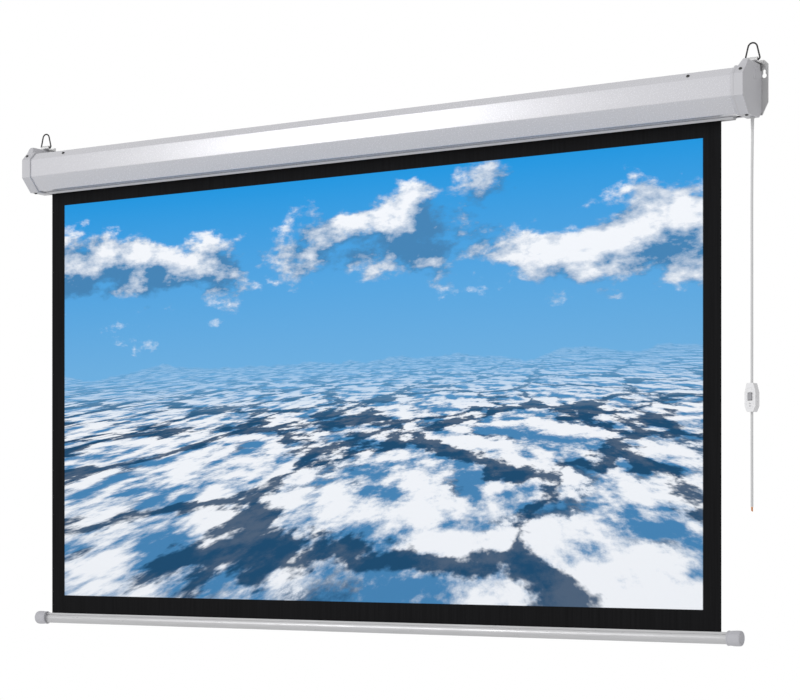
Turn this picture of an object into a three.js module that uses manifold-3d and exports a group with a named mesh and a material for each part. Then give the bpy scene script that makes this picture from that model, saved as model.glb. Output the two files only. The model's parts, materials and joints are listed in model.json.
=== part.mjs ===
// A motorised projection screen for a wall, lowered to its working height, as an assembly of separate pieces.
// Millimetres. +X is to the right of a viewer in front of it, +Y goes into the wall and +Z is up.
// The origin is the middle of the housing's flat back face.
import * as THREE from "three";
import { mergeVertices } from "three/addons/utils/BufferGeometryUtils.js";
import Module from "manifold-3d";

const wasm = await Module();
wasm.setup();

// Gaps between pieces
const SEAT = 0.3; // between two pieces that touch on the real screen
const RUN = 0.4; // between a turning piece and what it turns in
const OVERRUN = 5; // how far a cutting tool runs past what it cuts

// Fabric: a white picture area with a black border, hanging a little in front of the wall
const VIEW_WIDTH = 1594;
const VIEW_RATIO = 9 / 16;
const SIDE_BORDER = 38;
const TOP_BORDER = 33;
const BOTTOM_BORDER = 41;
const FABRIC_THICKNESS = 0.4;
const FABRIC_TO_WALL = 30;
const SPARE_TURNS = 2;
const FABRIC_WIDTH = VIEW_WIDTH + 2 * SIDE_BORDER;
const FABRIC_DROP = TOP_BORDER + VIEW_WIDTH * VIEW_RATIO + BOTTOM_BORDER;

// Housing: how far each end stands past the fabric, and the section of its rolled case
const LEFT_MARGIN = 36;
const RIGHT_MARGIN = 70;
const CASE_DEPTH = 90;
const TOP_CHAMFER = 16;
const FRONT_FACE = 39;
const LOWER_HEIGHT = 29;
const LOWER_DEPTH = 27;
const REAR_CHAMFER = 16;
const CASE_WALL = 1.4;
const CASE_INSET = 14; // from the end cap's outer face to the end of the case
const SLOT_WIDTH = 14;
const LIP_WALL = 1.2;
const LIP_LEG = 5;
const LIP_FIN = 3; // below the case, on the fabric's side
const LIP_PAST_FABRIC = 27; // at the motor's end
const HALF_SPAN = (LEFT_MARGIN + FABRIC_WIDTH + RIGHT_MARGIN) / 2;
const FABRIC_CENTRE = (LEFT_MARGIN - RIGHT_MARGIN) / 2;
const CASE_TOP = (TOP_CHAMFER + FRONT_FACE + LOWER_HEIGHT) / 2;
const CASE_BOTTOM = -CASE_TOP;
const CASE_END = HALF_SPAN - CASE_INSET;

// End caps, which slide over the case ends
const CAP_WIDTH = 24;
const CAP_WALL = 2.3;
const CAP_FACE = 3;
const LEDGE_RISE = 14; // the raised shoulder over the top of each cap
const LEDGE_FLAT = 10;
const LEDGE_FOOT = 17; // its width at the cap's top
const LEDGE_EDGE = 3; // bevel along its outer edge
const LEDGE_BACK = 10;
const LEDGE_SETBACK = 24; // behind the case's front
const LEDGE_SLOPE = 9; // depth of its sloping front
const CAP_TOP = CASE_TOP + SEAT + CAP_WALL;
const CAP_BOTTOM = -CAP_TOP;

// Steel brackets inside the ends, with tabs for the cap screws and the wall plate
const BRACKET_WALL = 2;
const TAB_WIDTH = 14;
const TAB_REACH = 8;
const BACK_TAB_TOP = 38;
const BACK_TAB_BOTTOM = -24;
const CASE_SCREW_INSET = 115; // from the cap's outer face to the screw in the case's upper chamfer
const ARM_PAST_SCREW = 11;
const BOTTOM_SCREW_SETBACK = 35; // behind the case's front
const BOTTOM_SCREW_TO_WALL = CASE_DEPTH - BOTTOM_SCREW_SETBACK;
const BRACKET_OUTER = -CASE_INSET + SEAT + BRACKET_WALL; // measured from the cap's outer face

// Wall plates: flat ears with a keyhole, and a strap bent forward over the cap into a rolled eye
const PLATE_WALL = 2;
const PLATE_INBOARD = 11;
const EAR_WIDTH = 13;
const PLATE_BOTTOM = -38;
const EAR_TAPER_Z = -14;
const EAR_FOOT = 1;
const EYE_RADIUS = 5;
const EYE_TO_WALL = 22;
const EYE_HEIGHT = CAP_TOP + LEDGE_RISE + SEAT + EYE_RADIUS;
const EYE_LENGTH = 22;
const EYE_INSET = 10; // from the cap's outer face inwards to the middle of the eye
const EAR_TOP = 66;
const EAR_CORNER = 8;
const KEYHOLE_X = 5.2;
const KEYHOLE_Z = 36;
const KEYHOLE_ROUND = 4.5;
const KEYHOLE_NECK = 2.6;
const KEYHOLE_RISE = 9;
const PLATE_SCREW_X = -6.5;
const PLATE_SCREW_ZS = [26, -12];

// Hanging rings, bent from wire
const WIRE_RADIUS = 1.6;
const RING_HALF_BASE = 14.5;
const RING_CORNER = 3.5;
const RING_CROWN = 9.5;
const RING_HEIGHT = 32;
const RING_STEPS = 40;
const RING_SIDES = 8;

// Screws
const SCREW_HEAD = 3.4;
const SCREW_HEAD_HEIGHT = 1.8;
const SCREW_SHANK = 1.7;
const SCREW_LENGTH = 6.5;
const RECESS_LENGTH = 3.6;
const RECESS_WIDTH = 0.8;
const RECESS_DEPTH = 1;

// Roller, and the tubular motor inside its right end
const ROLLER_RADIUS = 20;
const ROLLER_WALL = 1.2;
const ROLLER_Z = 4;
const MOTOR_RADIUS = 17.5;
const MOTOR_WALL = 1.2;
const MOTOR_LENGTH = 400;
const HEAD_RADIUS = 21;
const HEAD_LENGTH = 22;
const SPIGOT_LENGTH = 8;
const STUB_WIDTH = 14;
const STUB_LENGTH = 5;
const CROWN_FLANGE = 3;
const CROWN_LENGTH = 18;
const FLANGE_PROUD = 1;
const LIMIT_UNIT_LENGTH = 70;
const STATOR_LENGTH = 150;
const SHAFT_RADIUS = 6;
const SHAFT_LENGTH = 40;
const WHEEL_LENGTH = 20;
const WHEEL_RIM = 2.5;
const WHEEL_HUB = 11;
const WHEEL_WEB = 4;
const IDLER_FLANGE = 2;
const IDLER_LENGTH = 32;
const PIN_RADIUS = 5;
const PIN_LENGTH = 34;
const BUSH_RADIUS = 9;
const BUSH_FLANGE = 3;
const BUSH_PROUD = 2; // past the bracket's outer side
const LIMIT_RADIUS = 2.6;
const LIMIT_LENGTH = 10;
const LIMIT_PROUD = 2;
const LIMIT_PLACES = [8, 15]; // along the head, from the bracket
const LIMIT_OFFSET = 13; // behind the head's axis
const LIMIT_SOCKET = 1.4;
const SPARE_RADIUS = ROLLER_RADIUS + SEAT + SPARE_TURNS * FABRIC_THICKNESS;
const ROLLER_Y = -(FABRIC_TO_WALL + FABRIC_THICKNESS / 2 + SEAT + SPARE_RADIUS);

// Wiring inside the right end, all measured from the cap's outer face
const BOX_START = 98;
const BOX_END = 43;
const BOX_DEPTH = 22;
const BOX_FLOOR = 5;
const BOX_HEIGHT = 30;
const BOX_WALL = 1.6;
const CAPACITOR_RADIUS = 11;
const CAPACITOR_LENGTH = 45;
const CAPACITOR_GAP = 8;
const LEAD_RADIUS = 1.8;
const LEAD_BOW = 9; // how far the motor's lead rises on its way to the head
const LEAD_SLOPE = Math.PI / 3; // where it enters the head, from level
const LEAD_SIDES = 8;
const LEAD_STEPS = 20;
const PASSAGE_TO_WALL = 22; // the mains lead's hole through the bracket
const PASSAGE_Z = -9;
const PASSAGE_RADIUS = 4.5;

// Places along each lead, as shares of the way in X, Y and Z from one fixed point to the next
const GLAND_TO_PASSAGE_SHARES = [[0, 0, 0], [0, 0, 0.25], [0.28, 1, 0.87]];
const PASSAGE_TO_BOX_SHARES = [[0.09, 0, 0.09], [0.41, 0.81, 0.72], [0.82, 1, 1], [1, 1, 1]];
// The motor's lead: shares of the way in X and in Y, and of its rise
const MOTOR_LEAD_SHARES = [
  [0, 0, 0],
  [0.2, 0, 0],
  [0.9, 0.13, 0.6],
  [1, 0.45, 1],
  [1, 0.88, 0.7],
  [1, 1, 0],
];

// Cord: gland under the right cap, two stretches and the switch between them
const GLAND_INSET = 8.8;
const GLAND_TO_WALL = 26;
const GLAND_COLLAR = 4.8;
const GLAND_NECK = 3.6;
const GLAND_COLLAR_HEIGHT = 2;
const GLAND_INSIDE = 4;
const GLAND_TAPER = 20;
const GLAND_ROOT = 3.9;
const GLAND_TIP = 2.9;
const CORD_RADIUS = 2.5;
const CORD_SIDES = 10;
const CORD_STEP = 12;

// Switch on the cord
const SWITCH_HEIGHT = 54;
const SWITCH_WIDTH = 22;
const SWITCH_END_WIDTH = 13;
const SWITCH_WAIST = 26; // height of the part with parallel sides
const SWITCH_WAIST_DROP = 3; // its middle below the switch's middle
const SWITCH_DEPTH = 19;
const SWITCH_WALL = 1.8;
const SWITCH_BLOCK = 6;
const ROCKER_WIDTH = 8;
const ROCKER_HEIGHT = 13;
const ROCKER_RISE = 1.5; // middle of the rocker above the middle of the switch
const ROCKER_PROUD = 2;
const ROCKER_DEPTH = 5.5;
const ROCKER_DIP = 1.2;
const ROCKER_SKIRT = 2.6;
const ROCKER_PLAY = 0.8;
const ROCKER_PIN = 1;
const PIN_DEPTH = 3.4; // rocker pin behind the switch's front face
const EAR_THICKNESS = 1.5; // the two ears that hold the rocker's pin
const EAR_HALF_HEIGHT = 3;
const EAR_BEHIND_PIN = 2;

// Bare ends of the cord's cores
const CORE_RADIUS = 0.8;
const CORE_RING = 1.2;
const CORE_STAGGER = 0.8;
const CORE_LENGTH = 9;
const CORE_STUMP = 2;
const CORE_COUNT = 3;

// Weight bar in the fabric's lower hem
const BAR_HEIGHT = 23;
const BAR_TOP_HALF = 3.2;
const BAR_WAIST_HALF = 7;
const BAR_FOOT_HALF = 3.6;
const BAR_SLOPE = 10;
const BAR_WALL = 1.6;
const BAR_OVERHANG = 14;
const HEM_DEPTH = 6.5;
const HEM_CHANNEL = 3.6;
const HEM_ROD = 3;
const HEM_SLOT = 1.6;
const BAR_CAP_RADIUS = 15;
const BAR_CAP_LENGTH = 28;
const BAR_CAP_POCKET = 20;
const BAR_CAP_BEVEL = 3;
const BAR_TOP = CASE_BOTTOM - FABRIC_DROP;

// Facets on round pieces
const ROUND = 32;
const SMALL_ROUND = 16;
const TINY_ROUND = 12;
const HEX = 6;
const MERGE = 1e-4;

const finish = (color, roughness, metalness = 0) =>
  new THREE.MeshStandardMaterial({ color, roughness, metalness });

const materials = {
  casing: finish(0xe6e5ec, 0.45, 0.1),
  plastic: finish(0xdddce3, 0.5),
  lip: finish(0xf2f2f4, 0.6),
  steel: finish(0x6f7074, 0.4, 0.9),
  zinc: finish(0xa9abb0, 0.35, 0.9),
  chrome: finish(0xc8c8cc, 0.15, 1),
  screw: finish(0x3c3c40, 0.4, 0.8),
  fabric: finish(0xf4f4f2, 0.9),
  aluminium: finish(0xcfd0d4, 0.35, 0.7),
  barCap: finish(0xb4b4b9, 0.55),
  motor: finish(0x2b2d31, 0.5, 0.4),
  innerPlastic: finish(0x33353a, 0.6),
  bush: finish(0xf0ead6, 0.5),
  cord: finish(0xdfe0e2, 0.55),
  switchShell: finish(0xecedef, 0.4),
  rocker: finish(0xa8abb2, 0.45),
  copper: finish(0xb87245, 0.35, 0.9),
  lead: finish(0x1f2023, 0.6),
  limitUp: finish(0xe2c93a, 0.5),
  limitDown: finish(0xd9dadd, 0.5),
};

// A closed geometry as a solid that can be joined and cut, with its faces pointing out.
function toSolid(geometry) {
  const bare = geometry.clone();
  bare.deleteAttribute("normal");
  bare.deleteAttribute("uv");
  const merged = mergeVertices(bare, MERGE);
  const vertProperties = merged.attributes.position.array;
  const triVerts = new Uint32Array(merged.index.array);
  const solid = new wasm.Manifold(new wasm.Mesh({ numProp: 3, vertProperties, triVerts }));
  if (solid.volume() > 0) {
    return solid;
  }
  const turned = triVerts.map((_, i) => triVerts[i - (i % 3) + (2 - (i % 3))]);
  return new wasm.Manifold(new wasm.Mesh({ numProp: 3, vertProperties, triVerts: turned }));
}

function toGeometry(solid) {
  const mesh = solid.getMesh();
  const geometry = new THREE.BufferGeometry();
  geometry.setAttribute("position", new THREE.BufferAttribute(new Float32Array(mesh.vertProperties), 3));
  geometry.setIndex(new THREE.BufferAttribute(new Uint32Array(mesh.triVerts), 1));
  geometry.computeVertexNormals();
  return geometry;
}

const join = (...pieces) => toGeometry(pieces.map(toSolid).reduce((all, piece) => all.add(piece)));
const cut = (piece, ...tools) =>
  toGeometry(tools.map(toSolid).reduce((left, tool) => left.subtract(tool), toSolid(piece)));
const common = (a, b) => toGeometry(toSolid(a).intersect(toSolid(b)));

function block([x0, x1], [y0, y1], [z0, z1]) {
  const geometry = new THREE.BoxGeometry(x1 - x0, y1 - y0, z1 - z0);
  return geometry.translate((x0 + x1) / 2, (y0 + y1) / 2, (z0 + z1) / 2);
}

const shapeOf = (outline) => new THREE.Shape(outline.map(([u, v]) => new THREE.Vector2(u, v)));

function extruded(shape, depth) {
  return new THREE.ExtrudeGeometry(shape, { depth, bevelEnabled: false, curveSegments: SMALL_ROUND });
}

// A section in Y and Z, carried along X.
function alongX(outline, x0, x1) {
  return extruded(shapeOf(outline), x1 - x0)
    .rotateX(Math.PI / 2)
    .rotateZ(Math.PI / 2)
    .translate(x0, 0, 0);
}

// An outline in X and Z, carried along Y.
function alongY(outline, y0, y1) {
  return extruded(shapeOf(outline), y1 - y0).rotateX(Math.PI / 2).translate(0, y1, 0);
}

// A round bar along one axis, from a to b on it, centred on the other two coordinates.
function rodX(a, b, y, z, radius, sides = SMALL_ROUND) {
  const rod = new THREE.CylinderGeometry(radius, radius, b - a, sides);
  return rod.rotateZ(-Math.PI / 2).translate((a + b) / 2, y, z);
}

function rodY(a, b, x, z, radius, sides = SMALL_ROUND) {
  return new THREE.CylinderGeometry(radius, radius, b - a, sides).translate(x, (a + b) / 2, z);
}

function rodZ(a, b, x, y, radius, sides = SMALL_ROUND) {
  const rod = new THREE.CylinderGeometry(radius, radius, b - a, sides);
  return rod.rotateX(Math.PI / 2).translate(x, y, (a + b) / 2);
}

// A turned piece about the X axis or the Z axis: its profile lists places along the axis with their radii.
function turned(profile, sides) {
  return new THREE.LatheGeometry(
    profile.map(([along, radius]) => new THREE.Vector2(radius, along)),
    sides,
  );
}

const turnedX = (profile, sides = ROUND) => turned(profile, sides).rotateZ(-Math.PI / 2);
const turnedZ = (profile, sides = SMALL_ROUND) => turned(profile, sides).rotateX(Math.PI / 2);

// A tube between two radii, from a to b on the X axis.
const sleeveX = (a, b, inner, outer) =>
  turnedX([
    [a, inner],
    [b, inner],
    [b, outer],
    [a, outer],
    [a, inner],
  ]);

// A convex or concave outline, listed anticlockwise, with each side moved outwards.
function grown(outline, distance) {
  const count = outline.length;
  const normal = (from, to) => {
    const long = Math.hypot(to[0] - from[0], to[1] - from[1]);
    return [(to[1] - from[1]) / long, (from[0] - to[0]) / long];
  };
  return outline.map((corner, i) => {
    const before = normal(outline[(i + count - 1) % count], corner);
    const after = normal(corner, outline[(i + 1) % count]);
    const reach = distance / (1 + before[0] * after[0] + before[1] * after[1]);
    return [corner[0] + reach * (before[0] + after[0]), corner[1] + reach * (before[1] + after[1])];
  });
}

// A tube along a smooth line through the given points.
function tubeAlong(points, radius, sides, steps) {
  const line = new THREE.CatmullRomCurve3(points.map((p) => new THREE.Vector3(...p)), false, "centripetal");
  const circle = Array.from({ length: sides }, (_, i) => {
    const angle = (2 * Math.PI * i) / sides;
    return [radius * Math.cos(angle), radius * Math.sin(angle)];
  });
  return new THREE.ExtrudeGeometry(shapeOf(circle), { steps, extrudePath: line, bevelEnabled: false });
}

// A tube round a closed line in the X and Z plane.
function closedTube(line, radius, sides) {
  const count = line.length;
  const position = [];
  const index = [];
  line.forEach((point, i) => {
    const next = line[(i + 1) % count];
    const last = line[(i + count - 1) % count];
    const way = new THREE.Vector2().subVectors(next, last).normalize();
    for (let k = 0; k < sides; k++) {
      const angle = (2 * Math.PI * k) / sides;
      const out = radius * Math.cos(angle);
      position.push(point.x + out * way.y, radius * Math.sin(angle), point.y - out * way.x);
      const a = i * sides + k;
      const b = i * sides + ((k + 1) % sides);
      const c = ((i + 1) % count) * sides + k;
      const d = ((i + 1) % count) * sides + ((k + 1) % sides);
      index.push(a, c, b, b, c, d);
    }
  });
  const geometry = new THREE.BufferGeometry();
  geometry.setAttribute("position", new THREE.Float32BufferAttribute(position, 3));
  geometry.setIndex(index);
  return geometry;
}

// A pan head screw along Z, its head standing on z = 0, with a cross recess.
function screw(length = SCREW_LENGTH) {
  const body = turnedZ([
    [-length, 0],
    [-length, SCREW_SHANK],
    [0, SCREW_SHANK],
    [0, SCREW_HEAD],
    [SCREW_HEAD_HEIGHT / 2, SCREW_HEAD],
    [SCREW_HEAD_HEIGHT, (SCREW_HEAD + SCREW_SHANK) / 2],
    [SCREW_HEAD_HEIGHT, 0],
  ]);
  const depth = [SCREW_HEAD_HEIGHT - RECESS_DEPTH, SCREW_HEAD_HEIGHT + OVERRUN];
  const across = [-RECESS_LENGTH / 2, RECESS_LENGTH / 2];
  const thin = [-RECESS_WIDTH / 2, RECESS_WIDTH / 2];
  return cut(body, block(across, thin, depth), block(thin, across, depth));
}

// A named piece, its faces all turned outwards.
function piece(parent, name, geometry, material) {
  const mesh = new THREE.Mesh(toGeometry(toSolid(geometry)), material);
  mesh.name = name;
  parent.add(mesh);
  return mesh;
}

function groupAt(parent, x, y, z) {
  const group = new THREE.Group();
  group.position.set(x, y, z);
  parent.add(group);
  return group;
}

// The case's section: flat back and top, upper chamfer, upright front, long lower chamfer and flat bottom.
const caseOutline = [
  [0, CASE_TOP],
  [-(CASE_DEPTH - TOP_CHAMFER), CASE_TOP],
  [-CASE_DEPTH, CASE_TOP - TOP_CHAMFER],
  [-CASE_DEPTH, CASE_TOP - TOP_CHAMFER - FRONT_FACE],
  [-(CASE_DEPTH - LOWER_DEPTH), CASE_BOTTOM],
  [-REAR_CHAMFER, CASE_BOTTOM],
  [0, CASE_BOTTOM + REAR_CHAMFER],
];

// The middle of the upper chamfer, where the screws go in square to it.
const CHAMFER_Y = -(CASE_DEPTH - TOP_CHAMFER / 2);
const CHAMFER_Z = CASE_TOP - TOP_CHAMFER / 2;
const CHAMFER_TILT = Math.PI / 4;

// Something made along Z, turned square to the upper chamfer, its z = 0 standing on the case's outer face.
const onChamfer = (geometry, x, out) =>
  geometry
    .translate(0, 0, out)
    .rotateX(CHAMFER_TILT)
    .translate(x, CHAMFER_Y, CHAMFER_Z);

const chamferHole = (x) => onChamfer(rodZ(-OVERRUN, OVERRUN, 0, 0, SCREW_SHANK + SEAT), x, 0);

// A strip of sheet under the upper chamfer, between two depths below the case's outer face.
function chamferStrip(x0, x1, near, far) {
  return onChamfer(block([x0, x1], [-TAB_WIDTH / 2, TAB_WIDTH / 2], [-far, -near]), 0, 0);
}

function housingCase(root) {
  const inside = alongX(grown(caseOutline, -CASE_WALL), -CASE_END - OVERRUN, CASE_END + OVERRUN);
  const slot = block(
    [-CASE_END - OVERRUN, CASE_END + OVERRUN],
    [-FABRIC_TO_WALL - SLOT_WIDTH / 2, -FABRIC_TO_WALL + SLOT_WIDTH / 2],
    [CASE_BOTTOM - OVERRUN, CASE_BOTTOM + OVERRUN],
  );
  const holes = [-1, 1].map((side) => chamferHole(side * (HALF_SPAN - CASE_SCREW_INSET)));
  const shell = cut(alongX(caseOutline, -CASE_END, CASE_END), inside, slot, ...holes);
  piece(root, "housing_case", shell, materials.casing);

  // Each lip is a channel pushed over one edge of the slot, with a fin; `out` points away from the fabric.
  const lipLeft = -(HALF_SPAN - CAP_WIDTH - SEAT);
  const lipRight = FABRIC_CENTRE + FABRIC_WIDTH / 2 + LIP_PAST_FABRIC;
  const under = CASE_BOTTOM - SEAT - LIP_WALL;
  const over = CASE_BOTTOM + CASE_WALL + SEAT + LIP_WALL;
  for (const [name, out] of [["slot_lip_front", -1], ["slot_lip_rear", 1]]) {
    const edge = -FABRIC_TO_WALL + out * (SLOT_WIDTH / 2 - SEAT);
    const near = edge - out * LIP_WALL;
    const far = near + out * LIP_LEG;
    const channel = [
      [near, under - LIP_FIN],
      [edge, under - LIP_FIN],
      [edge, under],
      [far, under],
      [far, under + LIP_WALL],
      [edge, under + LIP_WALL],
      [edge, over - LIP_WALL],
      [far, over - LIP_WALL],
      [far, over],
      [near, over],
    ];
    piece(root, name, alongX(channel, lipLeft, lipRight), materials.lip);
  }
}

// A round hole through the flat bottom of the case, the cap and the bracket.
const floorHole = (x, y, radius) => rodZ(CAP_BOTTOM - OVERRUN, CASE_BOTTOM + OVERRUN, x, y, radius);

// The pieces of one end, in a frame whose x = 0 is the end cap's outer face and whose +X points outwards.
function capGeometry(hasGland) {
  const shell = alongX(grown(caseOutline, SEAT + CAP_WALL), -CAP_WIDTH, 0);
  const hollow = alongX(grown(caseOutline, SEAT), -CAP_WIDTH - OVERRUN, -CAP_FACE);
  const beyondWall = block(
    [-CAP_WIDTH - OVERRUN, OVERRUN],
    [0, OVERRUN],
    [CAP_BOTTOM - OVERRUN, CAP_TOP + OVERRUN],
  );
  const base = CAP_TOP - CAP_WALL;
  const ledgeTop = CAP_TOP + LEDGE_RISE;
  const ledgeFront = -(CASE_DEPTH - LEDGE_SETBACK);
  const across = alongY(
    [
      [-LEDGE_FOOT, base],
      [0, base],
      [0, ledgeTop - LEDGE_EDGE],
      [-LEDGE_EDGE, ledgeTop],
      [-LEDGE_FLAT, ledgeTop],
      [-LEDGE_FOOT, CAP_TOP],
    ],
    -CASE_DEPTH,
    0,
  );
  const side = alongX(
    [
      [-LEDGE_BACK, base],
      [-LEDGE_BACK, ledgeTop],
      [ledgeFront, ledgeTop],
      [ledgeFront - LEDGE_SLOPE, CAP_TOP],
      [ledgeFront - LEDGE_SLOPE, base],
    ],
    -CAP_WIDTH,
    0,
  );
  const cuts = [
    hollow,
    beyondWall,
    block(
      [-PLATE_INBOARD - SEAT, OVERRUN],
      [-PLATE_WALL - SEAT, OVERRUN],
      [PLATE_BOTTOM - SEAT, CAP_TOP + OVERRUN],
    ),
    chamferHole(-TAB_REACH),
    floorHole(-TAB_REACH, -BOTTOM_SCREW_TO_WALL, SCREW_SHANK + SEAT),
  ];
  if (hasGland) {
    cuts.push(floorHole(-GLAND_INSET, -GLAND_TO_WALL, GLAND_NECK + SEAT));
  }
  return cut(join(shell, common(across, side)), ...cuts);
}

// The bracket closes the case end, with three tabs bent outwards and a long arm under the upper chamfer.
function bracketGeometry(holes) {
  const inner = BRACKET_OUTER - BRACKET_WALL;
  const tabEnd = -CAP_FACE - SEAT;
  const tabFace = -PLATE_WALL - SEAT;
  const plate = alongX(caseOutline, inner, BRACKET_OUTER);
  const backTab = block(
    [inner, tabEnd],
    [tabFace - BRACKET_WALL, tabFace],
    [BACK_TAB_BOTTOM, BACK_TAB_TOP],
  );
  const bottomTab = block(
    [inner, tabEnd],
    [-BOTTOM_SCREW_TO_WALL - TAB_WIDTH / 2, -BOTTOM_SCREW_TO_WALL + TAB_WIDTH / 2],
    [CASE_BOTTOM, CASE_BOTTOM + BRACKET_WALL],
  );
  const topTab = chamferStrip(inner, tabEnd, 0, BRACKET_WALL);
  const armTop = CASE_WALL + SEAT;
  const armEnd = -CASE_SCREW_INSET - ARM_PAST_SCREW;
  const arm = chamferStrip(armEnd, BRACKET_OUTER, armTop, armTop + BRACKET_WALL);
  const screwHoles = [
    chamferHole(-TAB_REACH),
    chamferHole(-CASE_SCREW_INSET),
    floorHole(-TAB_REACH, -BOTTOM_SCREW_TO_WALL, SCREW_SHANK + SEAT),
    ...PLATE_SCREW_ZS.map((z) => rodY(tabFace - OVERRUN, OVERRUN, PLATE_SCREW_X, z, SCREW_SHANK + SEAT)),
  ];
  return cut(join(plate, backTab, bottomTab, topTab, arm), ...screwHoles, ...holes);
}

// A flat ear in the wall's plane, with a keyhole outside the cap, and a strap over the cap's top that ends
// in the ring's eye.
function wallPlateGeometry() {
  const eyeInner = -EYE_INSET - EYE_LENGTH / 2;
  const eyeOuter = eyeInner + EYE_LENGTH;
  const strapBottom = EYE_HEIGHT - EYE_RADIUS + SEAT;
  const sheet = alongY(
    [
      [-PLATE_INBOARD, PLATE_BOTTOM],
      [EAR_FOOT, PLATE_BOTTOM],
      [EAR_WIDTH, EAR_TAPER_Z],
      [EAR_WIDTH, EAR_TOP - EAR_CORNER],
      [EAR_WIDTH - EAR_CORNER, EAR_TOP],
      [eyeInner, EAR_TOP],
      [eyeInner, CAP_TOP + SEAT],
      [-PLATE_INBOARD, CAP_TOP + SEAT],
    ],
    -PLATE_WALL,
    0,
  );
  const strap = block([eyeInner, eyeOuter], [-EYE_TO_WALL, 0], [strapBottom, strapBottom + PLATE_WALL]);
  const eye = rodX(eyeInner, eyeOuter, -EYE_TO_WALL, EYE_HEIGHT, EYE_RADIUS);
  const bore = rodX(eyeInner - OVERRUN, eyeOuter + OVERRUN, -EYE_TO_WALL, EYE_HEIGHT, WIRE_RADIUS + RUN);
  const neck = block(
    [KEYHOLE_X - KEYHOLE_NECK, KEYHOLE_X + KEYHOLE_NECK],
    [-OVERRUN, OVERRUN],
    [KEYHOLE_Z, KEYHOLE_Z + KEYHOLE_RISE],
  );
  const wallScrewHoles = [
    rodY(-OVERRUN, OVERRUN, KEYHOLE_X, KEYHOLE_Z, KEYHOLE_ROUND),
    rodY(-OVERRUN, OVERRUN, KEYHOLE_X, KEYHOLE_Z + KEYHOLE_RISE, KEYHOLE_NECK),
    neck,
  ];
  return cut(join(sheet, strap, eye), bore, ...wallScrewHoles, ...PLATE_SCREW_ZS.map(countersink));
}

const sinkProfile = (length, play) => [
  [-length, 0],
  [-length, SCREW_SHANK + play],
  [-PLATE_WALL, SCREW_SHANK + play],
  [0, SCREW_SHANK + PLATE_WALL + play],
  [0, 0],
];

// The hole for a countersunk screw, its head flush with the plate's back.
function countersink(z) {
  const tool = turnedZ(sinkProfile(PLATE_WALL + OVERRUN, SEAT));
  return tool.rotateX(-Math.PI / 2).translate(PLATE_SCREW_X, 0, z);
}

// The ring's line: a straight foot through the eye, two sloping legs and a round crown.
function ringGeometry() {
  const line = new THREE.Path();
  const crownZ = RING_HEIGHT - RING_CROWN;
  const cornerX = RING_HALF_BASE - RING_CORNER;
  const lean = Math.asin((RING_CROWN - RING_CORNER) / Math.hypot(cornerX, crownZ - RING_CORNER));
  const side = Math.atan2(cornerX, crownZ - RING_CORNER) - lean;
  line.absarc(cornerX, RING_CORNER, RING_CORNER, -Math.PI / 2, side, false);
  line.absarc(0, crownZ, RING_CROWN, side, Math.PI - side, false);
  line.absarc(-cornerX, RING_CORNER, RING_CORNER, Math.PI - side, (3 * Math.PI) / 2, false);
  line.closePath();
  return closedTube(line.getSpacedPoints(RING_STEPS).slice(0, RING_STEPS), WIRE_RADIUS, RING_SIDES);
}

function housingEnd(root, side) {
  const isMotorEnd = side === "right";
  const end = groupAt(root, isMotorEnd ? HALF_SPAN : -HALF_SPAN, 0, 0);
  end.scale.x = isMotorEnd ? 1 : -1;

  const inner = BRACKET_OUTER - BRACKET_WALL;
  const square = [-STUB_WIDTH / 2 - SEAT, STUB_WIDTH / 2 + SEAT];
  const holes = isMotorEnd
    ? [
        block([inner - OVERRUN, OVERRUN], square, square).translate(0, ROLLER_Y, ROLLER_Z),
        rodX(inner - OVERRUN, OVERRUN, -PASSAGE_TO_WALL, PASSAGE_Z, PASSAGE_RADIUS),
        rodZ(CASE_BOTTOM - OVERRUN, GLAND_TOP + RUN, -GLAND_INSET, -GLAND_TO_WALL, GLAND_COLLAR + RUN),
      ]
    : [rodX(inner - OVERRUN, OVERRUN, ROLLER_Y, ROLLER_Z, BUSH_RADIUS + SEAT, ROUND)];
  const bracketName = isMotorEnd ? "motor_bracket" : "idler_bracket";
  piece(end, `end_cap_${side}`, capGeometry(isMotorEnd), materials.plastic);
  piece(end, bracketName, bracketGeometry(holes), materials.zinc);

  // The left plate is turned into its mirror image before it is placed, not by the mirrored frame.
  const plate = wallPlateGeometry().scale(end.scale.x, 1, 1);
  piece(root, `wall_plate_${side}`, plate, materials.steel).position.copy(end.position);

  const ring = piece(end, `hanging_ring_${side}`, ringGeometry(), materials.chrome);
  ring.position.set(-EYE_INSET, -EYE_TO_WALL, EYE_HEIGHT);

  const capOut = SEAT + CAP_WALL + SEAT;
  piece(end, `cap_screw_${side}_top`, onChamfer(screw(), -TAB_REACH, capOut), materials.screw);
  const bottomScrew = piece(end, `cap_screw_${side}_bottom`, screw(), materials.screw);
  bottomScrew.position.set(-TAB_REACH, -BOTTOM_SCREW_TO_WALL, CAP_BOTTOM - SEAT);
  bottomScrew.rotation.x = Math.PI;
  piece(end, `case_screw_${side}`, onChamfer(screw(), -CASE_SCREW_INSET, SEAT), materials.screw);
  PLATE_SCREW_ZS.forEach((z, i) => {
    const name = `plate_screw_${side}_${["upper", "lower"][i]}`;
    const sunk = piece(end, name, turnedZ(sinkProfile(SCREW_LENGTH, 0)), materials.screw);
    sunk.position.set(PLATE_SCREW_X, 0, z);
    sunk.rotation.x = -Math.PI / 2;
  });
  return end;
}

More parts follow.
